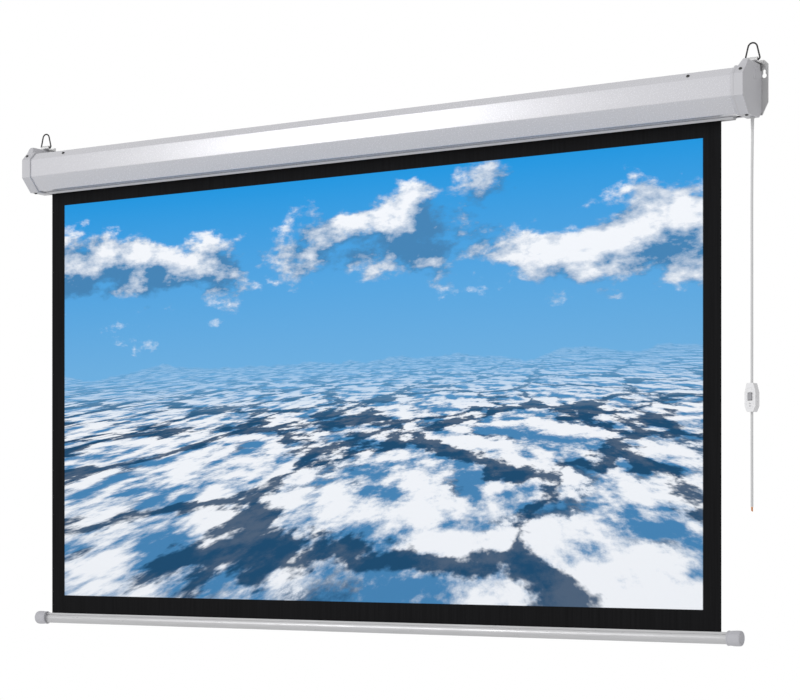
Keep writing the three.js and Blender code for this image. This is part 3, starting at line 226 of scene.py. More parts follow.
def filleted(corners, radius, steps=ARC_STEPS):
    """A closed outline whose corners are arcs, each centred radius / sin(half angle) along the bisector."""
    p = np.asarray(corners, float)
    back, on = unit(np.roll(p, 1, 0) - p), unit(np.roll(p, -1, 0) - p)
    half = np.arccos(np.clip((back * on).sum(1), -1, 1)) / 2
    r = np.broadcast_to(np.asarray(radius, float), half.shape)
    centre = p + unit(back + on) * (r / np.sin(half))[:, None]
    reach = (r / np.tan(half))[:, None]
    a, b = p + back * reach - centre, p + on * reach - centre
    turn = (np.pi - 2 * half)[:, None, None]
    t = np.linspace(0, 1, steps)[None, :, None]
    arc = (np.sin((1 - t) * turn) * a[:, None] + np.sin(t * turn) * b[:, None]) / np.sin(turn)
    return (centre[:, None] + arc).reshape(-1, 2)


def carried_x(section, xs):
    """A closed (y, z) section standing at each x."""
    section, xs = np.asarray(section, float), np.asarray(xs, float)
    rings = np.empty((len(xs), len(section), 3))
    rings[..., 0] = xs[:, None]
    rings[..., 1:] = section
    return rings


def turned_z(profile, x, y, sides=32):
    """A profile of (z, radius) turned about a Z axis."""
    profile = np.asarray(profile, float)
    a = np.linspace(0, 2 * np.pi, sides, endpoint=False)
    rings = np.stack([x + profile[:, 1:] * np.cos(a), y + profile[:, 1:] * np.sin(a),
                      np.broadcast_to(profile[:, :1], (len(profile), sides))], -1)
    return closed_skin(rings)


def smooth_line(points, per_span):
    """Points on the cubic through the given ones: each span blends its ends and their neighbours' slopes."""
    p = np.asarray(points, float)
    slope = np.gradient(p, axis=0)
    t = np.linspace(0, 1, per_span, endpoint=False)[None, :, None]
    a, b, u, v = p[:-1, None], p[1:, None], slope[:-1, None], slope[1:, None]
    span = ((2 * t**3 - 3 * t**2 + 1) * a + (t**3 - 2 * t**2 + t) * u
            + (3 * t**2 - 2 * t**3) * b + (t**3 - t**2) * v)
    return np.concatenate([span.reshape(-1, p.shape[1]), p[-1:]])


def tube(line, radius, side_axis, sides, looped=False):
    """Circles square to a line: line + r (cos a * side + sin a * (way x side))."""
    line = np.asarray(line, float)
    way = unit(np.roll(line, -1, 0) - np.roll(line, 1, 0) if looped else np.gradient(line, axis=0))
    side = unit(np.cross(way, side_axis))
    other = np.cross(way, side)
    a = np.linspace(0, 2 * np.pi, sides, endpoint=False)[:, None]
    return line[:, None] + radius * (np.cos(a) * side[:, None] + np.sin(a) * other[:, None])


def shown(name, data):
    """A new object of that data in the scene."""
    thing = bpy.data.objects.new(name, data)
    bpy.context.scene.collection.objects.link(thing)
    return thing


def piece(name, shape, finish, body, replaced=(), uv=None, sharp=SHARP_OVER):
    """A new piece, faces outwards: its finish, its body, and the CAD nodes that it stands for."""
    points, faces = shape
    mesh = bpy.data.meshes.new(name)
    mesh.from_pydata((np.asarray(points, float).reshape(-1, 3) * MM).tolist(), [], faces)
    if uv is not None:
        corner = np.empty(len(mesh.loops), np.int32)
        mesh.loops.foreach_get("vertex_index", corner)
        layer = mesh.uv_layers.new(name="UVMap")
        layer.data.foreach_set("uv", np.asarray(uv, np.float32)[corner].ravel())
    work = bmesh.new()
    work.from_mesh(mesh)
    bmesh.ops.remove_doubles(work, verts=work.verts, dist=WELD)
    bmesh.ops.recalc_face_normals(work, faces=work.faces)
    work.to_mesh(mesh)
    work.free()
    mesh.shade_smooth()
    mesh.set_sharp_from_angle(angle=np.radians(sharp))
    mesh.materials.append(finish)
    thing = shown(name, mesh)
    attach(thing, body)
    if replaced:
        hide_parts(*replaced)
    return thing


def softened(name, node, finish, body, edge, segments=3):
    """A rigid CAD piece again, its facets merged and every edge turned on a small radius."""
    work = bmesh.new()
    work.from_mesh(cad[node].data)
    bmesh.ops.remove_doubles(work, verts=work.verts, dist=WELD)
    bmesh.ops.dissolve_limit(work, angle_limit=np.radians(MERGED_UNDER), verts=work.verts, edges=work.edges)
    points = np.array([v.co for v in work.verts]) / MM
    faces = [[v.index for v in face.verts] for face in work.faces]
    work.free()
    thing = piece(name, (points, faces), finish, body, [node])
    bevel = thing.modifiers.new("edges", "BEVEL")
    bevel.width = edge * MM
    bevel.segments = segments
    bevel.limit_method = "ANGLE"
    bevel.angle_limit = np.radians(ROUNDED_OVER)
    bevel.harden_normals = True
    return thing


# Finishes


class Shading:
    """Short calls for the nodes of one new material or world: each returns an output for the next call."""

    def __init__(self, name, kind=bpy.data.materials):
        self.owner = kind.new(name)
        self.owner.use_nodes = True
        self.tree = self.owner.node_tree
        self.tree.nodes.clear()
        self.place = self.node("ShaderNodeTexCoord", out="Object")

    def put(self, value, socket):
        """A value set on an input, or an output linked to it."""
        if isinstance(value, bpy.types.NodeSocket):
            self.tree.links.new(value, socket)
        else:
            socket.default_value = value

    def node(self, kind, out=0, settings=(), **inputs):
        """A new node. Its inputs are given by name, with _ for a space, or by number, as _0 and _1."""
        made = self.tree.nodes.new(kind)
        for key, value in dict(settings).items():
            setattr(made, key, value)
        for key, value in inputs.items():
            self.put(value, made.inputs[int(key[1:]) if key[1:].isdigit() else key.replace("_", " ")])
        return made.outputs[out]

    def stretched(self, x, y, z, source=None):
        """A place for a texture, scaled: a small number draws the texture out that way."""
        return self.node("ShaderNodeMapping", Vector=source or self.place, Scale=(x, y, z))

    def noise(self, scale, detail=3.0, source=None, rough=0.5, out=0):
        """A noise from 0 to 1; a bigger scale makes it finer, more detail and roughness make it busier."""
        return self.node("ShaderNodeTexNoise", out, Vector=source or self.place, Scale=scale, Detail=detail,
                         Roughness=rough)

    def math(self, operation, a, b=0.0):
        """A sum of one or two numbers, such as ADD or SINE."""
        return self.node("ShaderNodeMath", settings={"operation": operation}, _0=a, _1=b)

    def moved(self, place, by):
        """A place moved by a vector."""
        return self.node("ShaderNodeVectorMath", settings={"operation": "ADD"}, _0=place, _1=by)

    def parts(self, vector, *axes):
        """The numbers that a vector holds for those axes; 0, 1 and 2 are X, Y and Z."""
        return (self.node("ShaderNodeSeparateXYZ", axis, Vector=vector) for axis in axes)

    def between(self, value, low, high, to_low, to_high, smooth=False):
        """value taken from low...high to to_low...to_high and held at the ends; smooth goes in an S curve."""
        settings = {"interpolation_type": "SMOOTHSTEP"} if smooth else {}
        return self.node("ShaderNodeMapRange", "Result", settings, Value=value, From_Min=low, From_Max=high,
                         To_Min=to_low, To_Max=to_high)

    def spread(self, noise, to_low, to_high, reach=NOISE_REACH):
        """The usual values of a noise, up to reach from a half, taken to to_low...to_high."""
        return self.between(noise, 0.5 - reach, 0.5 + reach, to_low, to_high)

    def mix(self, share, a, b):
        """Colour a, going over to colour b as share goes from 0 to 1."""
        made = self.tree.nodes.new("ShaderNodeMix")
        made.data_type = "RGBA"
        sockets = {socket.identifier: socket for socket in (*made.inputs, *made.outputs)}
        for key, value in (("Factor_Float", share), ("A_Color", a), ("B_Color", b)):
            self.put(value, sockets[key])
        return sockets["Result_Color"]

    def varied(self, noise, colour, darkest, reach=NOISE_REACH):
        """A colour that falls to darkest times itself where the noise is low."""
        return self.mix(self.spread(noise, 0, 1, reach), shaded(colour, darkest), colour)

    def bump(self, height, depth, strength, under=None):
        """A bump of that depth in millimetres, over the one given as under."""
        below = {} if under is None else {"Normal": under}
        return self.node("ShaderNodeBump", Height=height, Distance=depth * MM, Strength=strength, **below)

    def in_sight(self):
        """1 on rays from the camera, in reflections and through clear things, and 0 on rays of light."""
        rays = self.tree.nodes.new("ShaderNodeLightPath").outputs
        seen = self.math("MAXIMUM", rays["Is Camera Ray"], rays["Is Glossy Ray"])
        return self.math("MAXIMUM", seen, rays["Is Transmission Ray"])

    def ended(self, shader, kind="ShaderNodeOutputMaterial"):
        """The finished material or world, which shows that shader."""
        self.put(shader, self.tree.nodes.new(kind).inputs["Surface"])
        return self.owner

    def surface(self, **inputs):
        """The finished material, with those inputs of the principled shader."""
        return self.ended(self.node("ShaderNodeBsdfPrincipled", **inputs))


def grey(level, tint=0.0):
    """A grey as it renders, a little blue where tint is above nothing."""
    return (level - tint, level - tint, level + tint, 1)


def shaded(colour, times):
    """A colour made darker."""
    return tuple(c * times for c in colour[:3]) + (1,)


def painted(name, colour, roughness, coat, pearl=0.0):
    """Powder coat: a fine orange peel, long soft changes of tone and, with pearl, a metallic sheen."""
    f = Shading(name)
    peel = f.noise(520, 2)
    base = f.varied(f.noise(2.2, 2, f.stretched(1, 6, 6)), colour, 0.975, reach=0.15)
    rough = f.spread(peel, roughness - 0.05, roughness + 0.06)
    normal = f.bump(f.noise(2600, 2), 0.01, 0.5, under=f.bump(peel, 0.03, 0.45))
    return f.surface(Base_Color=base, Metallic=pearl, Roughness=rough, Normal=normal, Coat_Weight=coat,
                     Coat_Roughness=0.25)


def moulded(name, colour, roughness=0.45, grain=1500, depth=0.02):
    """Moulded plastic: an even spark-eroded grain, faint flow marks and slightly polished high spots."""
    f = Shading(name)
    spark = f.noise(grain)
    base = f.varied(f.noise(34, 3, f.stretched(1, 0.35, 1)), colour, 0.965)
    rough = f.spread(spark, roughness - 0.06, roughness + 0.08)
    return f.surface(Base_Color=base, Roughness=rough, Normal=f.bump(spark, depth, 0.5))


def drawn_metal(name, colour, roughness, stretch, depth=0.012, metallic=1.0, scale=90):
    """Metal with fine lines in its long direction, and small changes of polish across them."""
    f = Shading(name)
    lines = f.noise(scale, 4, f.stretched(*stretch))
    rough = f.math("ADD", f.spread(lines, roughness - 0.05, roughness + 0.07),
                   f.spread(f.noise(45), -0.03, 0.04, reach=0.15))
    return f.surface(Base_Color=f.varied(lines, colour, 0.86), Metallic=metallic, Roughness=rough,
                     Normal=f.bump(lines, depth, 0.5))


def zinc_plated(name, colour, roughness):
    """Zinc plate: small angular crystals, each with its own tone and polish."""
    f = Shading(name)
    crystals = f.node("ShaderNodeTexVoronoi", "Color", Vector=f.place, Scale=240.0)
    tone = f.node("ShaderNodeSeparateColor", 0, Color=crystals)
    rough = f.between(tone, 0, 1, roughness - 0.08, roughness + 0.1)
    return f.surface(Base_Color=f.mix(tone, shaded(colour, 0.8), colour), Metallic=1.0, Roughness=rough,
                     Normal=f.bump(f.noise(1400, 2), 0.006, 0.4))


def sheath(name, colour, roughness):
    """Cord sheath: faint lengthwise flow lines and a fine matt skin."""
    f = Shading(name)
    flow = f.noise(500, 3, f.stretched(1, 1, 0.04))
    rough = f.spread(f.noise(2200, 2), roughness - 0.07, roughness + 0.07)
    return f.surface(Base_Color=f.varied(flow, colour, 0.93), Roughness=rough, Normal=f.bump(flow, 0.03, 0.4))


def woven_bump(f, depth, pitch=0.5):
    """Plain weave: a sine for the warp times a sine for the weft, with threads pitch millimetres apart."""
    turns = np.pi / (pitch * MM)
    warp, weft = (f.math("SINE", f.math("MULTIPLY", place, turns)) for place in f.parts(f.place, 0, 2))
    return f.bump(f.math("MULTIPLY", warp, weft), depth, 0.35)


# The projected image on the cloth, a sky over broken ice, is painted light in the cloth's colour. Places are
# shares of its height, the slices say where the noises are cut, and each light is the step that a noise is
# compared over.
PICTURE_SHAPE = 16 / 9
BORDER_SOFT = 0.0005
HORIZON, HORIZON_SOFT, HORIZON_RIPPLE = 0.56, 0.003, 0.1
SKY_SLICE, SEA_SLICE = 3.7, 11.3
SKY_LIGHT, SEA_LIGHT = (-0.04, 0.1, 0), (-0.1, -0.14, 0)

# Clouds: the height that they keep near, how much it helps them, and the noise where they begin and are full
CLOUD_HEIGHT, CLOUD_NEAR, CLOUD_AWAY, CLOUD_HELP = 0.8, 0.02, 0.2, 0.1
CLOUD_BEGINS, CLOUD_FULL = 0.53, 0.6
CLOUD_LIGHT = (-0.05, 0.07)

# Ice: its plane, its floes' size, and how far their edges wander and follow the ridges. Then the ranges over
# which snow, bare slopes and the shore change, and the most that bare ice, water and haze cover.
SEA_MIDDLE, SEA_NEAR, VANISH_ABOVE, VANISH_LEAST = 1.3, 0.75, 0.05, 0.03
FLOE_SCALE, EDGE_WANDER, EDGE_RIDGES = 0.62, 0.9, 0.35
ICE_LIGHT, SNOW_LIGHT, BARE_LIGHT = (-0.13, 0.13), (0.15, 0.75), (0.35, 0.6)
BARE_RIDGES, SHORE = (0.52, 0.6), (0.03, 0.075)
BARE_MOST, WATER_MOST, HAZE_MOST, HAZE_DEPTH = 0.75, 0.92, 0.8, 0.14

# Colours as they render
CLOUD_WHITE = (0.93, 0.96, 1.0, 1)
CLOUD_SHADE = (0.065, 0.24, 0.48, 1)
SKY_HIGH = (0.018, 0.32, 0.76, 1)
SKY_LOW = (0.16, 0.45, 0.78, 1)
OPEN_WATER = (0.009, 0.06, 0.14, 1)
BORDER_DARK, BORDER_LIGHT = (0.0075, 0.0075, 0.008, 1), (0.011, 0.011, 0.0118, 1)


def lit_noise(f, place, light, scale, rough):
    """A noise, and how much it faces the light: what it loses over a step towards it."""
    here, there = (f.noise(scale, detail=12.0, source=point, rough=rough)
                   for point in (place, f.moved(place, light)))
    return here, f.math("SUBTRACT", here, there)


def open_sky(f, air, up):
    """A sky, deeper further up, with drifts of cloud where a noise is high, most of all near one height."""
    amount, facing = lit_noise(f, f.stretched(1, 1.9, 1, air), SKY_LIGHT, scale=2.3, rough=0.6)
    away = f.math("ABSOLUTE", f.math("SUBTRACT", up, CLOUD_HEIGHT))
    amount = f.math("ADD", amount, f.between(away, CLOUD_NEAR, CLOUD_AWAY, CLOUD_HELP, -CLOUD_HELP))
    sky = f.mix(f.between(up, HORIZON, 1, 0, 1), SKY_LOW, SKY_HIGH)
    cloud = f.mix(f.between(facing, *CLOUD_LIGHT, 0, 1), CLOUD_SHADE, CLOUD_WHITE)
    return f.mix(f.between(amount, CLOUD_BEGINS, CLOUD_FULL, 0, 1, smooth=True), sky, cloud)


def broken_ice(f, wide, up):
    """Floes on open water, smaller towards the horizon: places are divided by the distance under it.

    Floes are cells of a Voronoi pattern whose edges are water. Ridges on them are lit by a noise, some slopes
    on the dark side are bare, and haze lies before the horizon.
    """
    under = f.math("MAXIMUM", f.math("SUBTRACT", HORIZON + VANISH_ABOVE, up), VANISH_LEAST)
    plane = f.node("ShaderNodeCombineXYZ", X=f.math("DIVIDE", f.math("SUBTRACT", wide, SEA_MIDDLE), under),
                   Y=f.math("DIVIDE", SEA_NEAR, under), Z=SEA_SLICE)
    wander = f.node("ShaderNodeVectorMath", settings={"operation": "SCALE"},
                    _0=f.noise(2.2, 5, plane, rough=0.6, out="Color"), Scale=EDGE_WANDER)
    crack = f.node("ShaderNodeTexVoronoi", "Distance", settings={"feature": "DISTANCE_TO_EDGE"},
                   Vector=f.moved(plane, wander), Scale=FLOE_SCALE, Randomness=1.0)
    ridge, facing = lit_noise(f, plane, SEA_LIGHT, scale=1.5, rough=0.62)
    light = f.between(facing, *ICE_LIGHT, 0, 1)
    snow = f.mix(f.between(light, *SNOW_LIGHT, 0, 1, smooth=True), CLOUD_SHADE, CLOUD_WHITE)
    bare = f.math("MULTIPLY", f.between(ridge, *BARE_RIDGES, 0, 1, smooth=True),
                  f.between(light, *BARE_LIGHT, 1, 0, smooth=True))
    snow = f.mix(f.math("MULTIPLY", bare, BARE_MOST), snow, OPEN_WATER)
    shore = f.math("ADD", crack, f.math("MULTIPLY", f.math("SUBTRACT", ridge, 0.5), EDGE_RIDGES))
    water = f.between(shore, *SHORE, 1, 0, smooth=True)
    sea = f.mix(f.math("MULTIPLY", water, WATER_MOST), snow, OPEN_WATER)
    haze = f.between(f.math("SUBTRACT", HORIZON, up), 0, HAZE_DEPTH, HAZE_MOST, 0, smooth=True)
    return f.mix(haze, sea, SKY_LOW)


def cloth_front():
    """Matt screen cloth: a black border printed round a projected image, which is painted light in the
    cloth's colour. The image's own place is (across, up), 0 to 1.
    """
    f = Shading("screen_cloth")
    u, v = f.parts(f.node("ShaderNodeUVMap", settings={"uv_map": "UVMap"}), 0, 1)
    left, right = (PICTURE_LEFT - SHEET_LEFT) / SHEET_WIDTH, (PICTURE_RIGHT - SHEET_LEFT) / SHEET_WIDTH
    low, high = (PICTURE_BOTTOM - SHEET_BOTTOM) / SHEET_DROP, (PICTURE_TOP - SHEET_BOTTOM) / SHEET_DROP
    across, up = f.between(u, left, right, 0, 1), f.between(v, low, high, 0, 1)
    wide = f.math("MULTIPLY", across, PICTURE_SHAPE)
    air = f.node("ShaderNodeCombineXYZ", X=wide, Y=up, Z=SKY_SLICE)
    ripple = f.math("SUBTRACT", f.noise(5.5, 6, f.stretched(1, 0, 1, air)), 0.5)
    edge = f.math("ADD", up, f.math("MULTIPLY", ripple, HORIZON_RIPPLE))
    above = f.between(edge, HORIZON - HORIZON_SOFT, HORIZON + HORIZON_SOFT, 0, 1)
    # Painted light: the projected image, a sky over broken ice, put into the cloth's colour inside the border
    painted_projection = f.mix(above, broken_ice(f, wide, up), open_sky(f, air, up))

    def within(place, first, last):
        """1 from first to last and 0 outside, with soft ends."""
        return f.math("MULTIPLY", f.between(place, first - BORDER_SOFT, first + BORDER_SOFT, 0, 1),
                      f.between(place, last - BORDER_SOFT, last + BORDER_SOFT, 1, 0))

    streaks = f.noise(330, 2, f.stretched(1, 1, 0.02))
    border = f.mix(f.spread(streaks, 0, 1), BORDER_DARK, BORDER_LIGHT)
    base = f.mix(f.math("MULTIPLY", within(u, left, right), within(v, low, high)), border, painted_projection)
    return f.surface(Base_Color=base, Roughness=0.9, Normal=woven_bump(f, 0.04), Specular_IOR_Level=0.06)


def cloth_back(name, colour):
    """The cloth's coated back: the same weave under a dull coat, with faint streaks."""
    f = Shading(name)
    base = f.varied(f.noise(120, 3, f.stretched(1, 1, 0.03)), colour, 0.85)
    return f.surface(Base_Color=base, Roughness=0.85, Normal=woven_bump(f, 0.05), Specular_IOR_Level=0.25)


CASING = painted("casing_paint", grey(0.6, 0.014), roughness=0.24, coat=0.1, pearl=0.19)
CAP = moulded("cap_moulding", grey(0.56, 0.012))
LIP = moulded("lip_strip", grey(0.72, 0.008), roughness=0.55, grain=900)
ZINC = zinc_plated("bracket_zinc", grey(0.58), roughness=0.36)
PLATE = drawn_metal("plate_steel_sheet", grey(0.66), roughness=0.42, stretch=(1, 1, 0.03))
RING = drawn_metal("ring_plating", grey(0.05), roughness=0.22, stretch=(1, 1, 1), depth=0.004, scale=160)
SCREW = drawn_metal("screw_black", grey(0.06), roughness=0.38, stretch=(1, 1, 1), scale=400)
CLOTH_FRONT = cloth_front()
CLOTH_BACK = cloth_back("screen_cloth_back", grey(0.035))
ALUMINIUM = drawn_metal("bar_aluminium", grey(0.56, 0.004), roughness=0.33, stretch=(0.02, 1, 1), depth=0.01,
                        metallic=0.55, scale=700)
BAR_CAP = moulded("bar_cap_moulding", grey(0.52, 0.014), roughness=0.5)
MOTOR = painted("motor_paint_black", grey(0.03), roughness=0.45, coat=0.05)
INNER = moulded("inner_moulding", grey(0.04, 0.003), roughness=0.55)
BUSH = moulded("bush_nylon", (0.82, 0.77, 0.63, 1), roughness=0.4)
LIMIT_YELLOW = moulded("limit_yellow_moulding", (0.72, 0.55, 0.03, 1))
LIMIT_WHITE = moulded("limit_white_moulding", grey(0.68))
LEAD = sheath("lead_sheath", grey(0.015), roughness=0.55)
CORD = sheath("cord_sheath", grey(0.63), roughness=0.5)
SHELL = moulded("switch_moulding", grey(0.84, 0.004), roughness=0.32, grain=1900, depth=0.01)
ROCKER = moulded("rocker_moulding", grey(0.36, 0.008), roughness=0.42, grain=1900, depth=0.01)
LENS = moulded("lens_moulding", grey(0.93, 0.01), roughness=0.12, grain=2400, depth=0.004)
MARK = moulded("arrow_moulding", grey(0.5, 0.006), grain=1900, depth=0.01)
COPPER = drawn_metal("core_copper", (0.62, 0.3, 0.15, 1), roughness=0.35, stretch=(1, 1, 0.1))
SLOT_FINISH = {
    "casing": CASING, "cap_plastic": CAP, "lip": LIP, "zinc_steel": ZINC, "plate_steel": PLATE,
    "ring_chrome": RING, "screw_steel": SCREW, "screen_fabric": CLOTH_BACK, "aluminium": ALUMINIUM,
    "bar_cap_plastic": BAR_CAP, "motor_paint": MOTOR, "inner_plastic": INNER, "bush_plastic": BUSH,
    "limit_yellow": LIMIT_YELLOW, "limit_white": LIMIT_WHITE, "lead_rubber": LEAD, "cord_plastic": CORD,
    "switch_shell": SHELL, "rocker_plastic": ROCKER, "copper": COPPER,
}

# Camera

view = bpy.data.cameras.new("camera")
view.sensor_fit = "HORIZONTAL"
view.sensor_width = SENSOR
view.lens = FOCAL_PIXELS * SENSOR / FRAME_WIDTH
view.shift_y = (HORIZON_ROW - FRAME_HEIGHT / 2) / FRAME_WIDTH
view.clip_end = CAMERA_SEES
camera = shown("camera", view)
camera.location = CAMERA_PLACE
camera.rotation_euler = np.radians((90, 0, CAMERA_TURN))
bpy.context.scene.camera = camera

# Cords, with what is on them


def cord_piece(name, route, node):
    """A round sheath along a route given in metres; both ends are closed flat."""
    line = smooth_line(route / MM, per_span=5)
    shape = closed_skin(tube(line, CORD_DIAMETER / MM / 2, (1, 0, 0), sides=16))
    return piece(name, shape, CORD, "housing", [node], sharp=60), line * MM


def relief_shape():
    """The strain relief: a collar under the cap, then a taper whose radius swells as a clipped sine."""
    z = np.linspace(RELIEF_TOP, RELIEF_FOOT, 61)
    along = (z - z[0]) / (z[-1] - z[0])
    swell = np.clip(np.sin(along * SWELLS * 2 * np.pi), SWELL_LEAST, 1) * SWELL_RISE * (along < SWELLS_END)
    taper = RELIEF_RADIUS - RELIEF_TAPER * along + swell
    return turned_z(RELIEF_COLLAR + list(zip(z, taper)) + [RELIEF_TIP], RELIEF_X, RELIEF_Y)


def switch_rim_shape():
    """The raised rim round the key: a thin round line along a long ring with half-circle ends."""
    turn = np.linspace(0, 2 * np.pi, RIM_STEPS, endpoint=False)
    level = np.where(np.sin(turn) >= 0, RIM_TOP, RIM_BOTTOM)
    line = np.stack([SWITCH_X + RIM_RADIUS * np.cos(turn), np.full(RIM_STEPS, SWITCH_FRONT),
                     level + RIM_RADIUS * np.sin(turn)], -1)
    rings = tube(line, RIM_WIRE, (0, 1, 0), sides=12, looped=True)
    return rings, grid_faces(*rings.shape[:2], around=True)


def lamp_lens_shape():
    """The small lens over the key: a dome, its rise times sqrt(1 - t^2) at share t of its radius."""
    share = np.linspace(0, 1, 12)[:, None]
    r = share * LENS_RADIUS
    a = np.linspace(0, 2 * np.pi, 28, endpoint=False)
    dome = np.stack([SWITCH_X + r * np.cos(a), SWITCH_FRONT - LENS_RISE * domed(share) + 0 * a,
                     LENS_Z + r * np.sin(a)], -1)
    return closed_skin(np.concatenate([dome, dome[-1:] + (0, LENS_ROOT, 0)]))


def arrow_shape(tip, foot):
    """A raised arrowhead on the cover: a three-cornered plate whose top is smaller than its foot."""
    corners = np.array([(0, tip), (ARROW_HALF, foot), (-ARROW_HALF, foot)], float)
    middle = corners.mean(0)
    rings = []
    for share, out in ARROW_LAYERS:
        flat = filleted(middle + (corners - middle) * share, ARROW_FOLD, steps=5)
        depth = np.full(len(flat), SWITCH_FRONT - out)
        rings.append(np.stack([SWITCH_X + flat[:, 0], depth, flat[:, 1]], -1))
    return closed_skin(rings)


relief = piece("strain_relief", relief_shape(), CORD, "housing", ["cord_gland"], sharp=50)
shell_front = softened("switch_cover_front", "switch_front", SHELL, "housing", edge=1.1)
shell_back = softened("switch_cover_back", "switch_back", SHELL, "housing", edge=1.1)
key = softened("switch_key", "switch_rocker", ROCKER, "rocker", edge=0.45)
rim = piece("switch_rim", switch_rim_shape(), SHELL, "housing")
lamp_lens = piece("switch_lens", lamp_lens_shape(), LENS, "housing")
arrow_up = piece("switch_arrow_up", arrow_shape(tip=-580.2, foot=-583.6), MARK, "housing")
arrow_down = piece("switch_arrow_down", arrow_shape(tip=-589.6, foot=-586.2), MARK, "housing")
upper, upper_line = cord_piece("cord_to_switch", CORD_UPPER, "cord_upper")
lower, lower_line = cord_piece("cord_below_switch", CORD_LOWER, "cord_lower")

# The sheet


def sheet_shape(bottom, top, rows, columns=84):
    """A flat hanging cloth that sways by two sines, too little to see: a grid on each side, and a rim."""
    grid = np.empty((2, rows, columns, 3))
    grid[..., 0] = x = np.linspace(SHEET_LEFT, SHEET_RIGHT, columns)
    grid[..., 2] = z = np.linspace(bottom, top, rows)[:, None]
    sway = SWAY * np.sin(x / SWAY_LENGTH + SWAY_START) * np.sin(np.pi * (z - SHEET_BOTTOM) / SHEET_DROP)
    for side, half in enumerate((-SHEET_THICK / 2, SHEET_THICK / 2)):
        grid[side, ..., 1] = SHEET_Y + half + sway
    uv = np.stack([(grid[..., 0] - SHEET_LEFT) / SHEET_WIDTH, (grid[..., 2] - SHEET_BOTTOM) / SHEET_DROP], -1)
    return (grid, slab_faces(rows, columns)), uv.reshape(-1, 2)


def sheet_piece(name, bottom, top, rows, body, replaced):
    """A part of the sheet: the faces that look along -Y are printed, and its back and rim are coated."""
    shape, uv = sheet_shape(bottom, top, rows)
    part = piece(name, shape, CLOTH_FRONT, body, replaced, uv)
    part.data.materials.append(CLOTH_BACK)
    facing = np.array([face.normal.y for face in part.data.polygons])
    part.data.polygons.foreach_set("material_index", (facing > -0.5).astype(np.int32))
    return part


def roll_shape(sides=72):
    """The turns left on the roller: a spiral whose radius grows evenly with its angle, given a thickness."""
    angle = np.linspace(0, ROLL_TURNS * 2 * np.pi, ROLL_TURNS * sides + 1)
    radius = np.linspace(ROLL_INNER, ROLL_OUTER - ROLL_THICK, len(angle))
    outer, inner = (np.stack([ROLLER_Y + r * np.cos(angle), ROLLER_Z + r * np.sin(angle)], -1)
                    for r in (radius + ROLL_THICK, radius))
    return strip_skin(carried_x(np.concatenate([outer, inner[::-1]]), (SHEET_LEFT, SHEET_RIGHT)))


cloth = sheet_piece("screen_sheet", SHEET_SEAM + SEAM_GAP, SHEET_TOP, 50, "housing", ["screen_fabric"])
hem = sheet_piece("screen_hem", SHEET_BOTTOM, SHEET_SEAM, 4, "bar", [])
roll = piece("sheet_turns", roll_shape(), CLOTH_BACK, "roller", ["fabric_spare_turns"])

# The case


def case_shape():
    """The rolled case: a strip between its outer line and that line moved in by the wall, with soft folds."""
    outer = np.array(CASE_CORNERS, float)
    along = unit(np.diff(outer, axis=0))
    normal = np.stack([along[:, 1], -along[:, 0]], -1)
    before, after = np.vstack([normal[:1], normal]), np.vstack([normal, normal[-1:]])
    reach = CASE_WALL / (1 + (before * after).sum(1, keepdims=True))
    inner = outer + (before + after) * reach
    folds = np.full(len(outer), CASE_FOLD)
    folds[[0, -1]] = CUT_FOLD
    inner_folds = (folds - TIGHTER_INSIDE).clip(CUT_FOLD)
    section = filleted(np.vstack([outer, inner[::-1]]), np.concatenate([folds, inner_folds[::-1]]))
    return strip_skin(carried_x(section, (-CASE_END, -CASE_END + CASE_BAND, CASE_END - CASE_BAND, CASE_END)))


piece("case_shell", case_shape(), CASING, "housing", ["housing_case"])
for name in ("front", "rear"):
    softened(f"slot_edge_{name}", f"slot_lip_{name}", LIP, "housing", edge=0.4)

# The ends: caps, wall plates and rings


def cap_rib_shape(side, place):
    """A moulded rib down a cap's face: its rise times the root of 1 less a power of u, and so again of v."""
    u, v = np.meshgrid(np.linspace(-1, 1, 25), np.linspace(-1, 1, 33), indexing="ij")
    height = domed(u, RIB_SIDE_POWER) * domed(v, RIB_END_POWER)
    y, z = place + RIB_HALF_WIDTH * u, RIB_Z + RIB_HALF_HEIGHT * v
    top = np.stack([side * (HALF_SPAN + RIB_RISE * height), y, z], -1)
    foot = np.stack([np.full_like(y, side * (HALF_SPAN - RIB_ROOT)), y, z], -1)
    return np.stack([top, foot]), slab_faces(*u.shape)


def cap_bead_shape(side):
    """The raised edge of a cap's sleeve: a half-round, its rise times sqrt(1 - t^2) at share t across."""
    arcs = filleted(BEAD_CORNERS, BEAD_FOLD)[ARC_STEPS:-ARC_STEPS]
    line = np.vstack([BEAD_CORNERS[:1], arcs, BEAD_CORNERS[-1:]])
    along = unit(np.diff(line, axis=0))
    out = np.stack([-along[:, 1], along[:, 0]], -1)
    out = unit(np.vstack([out[:1], out[:-1] + out[1:], out[-1:]]))
    out *= np.sign(out[0, 1])
    t = np.linspace(-1, 1, 15)
    rise = np.concatenate([BEAD_RISE * domed(t), [-BEAD_ROOT, -BEAD_ROOT]])
    across = side * (HALF_SPAN - BEAD_INSET + BEAD_HALF_WIDTH * np.concatenate([t, [1, -1]]))
    flat = line[:, None] + rise[None, :, None] * out[:, None]
    across = np.broadcast_to(across[None, :, None], flat.shape[:2] + (1,))
    return closed_skin(np.concatenate([across, flat], -1))


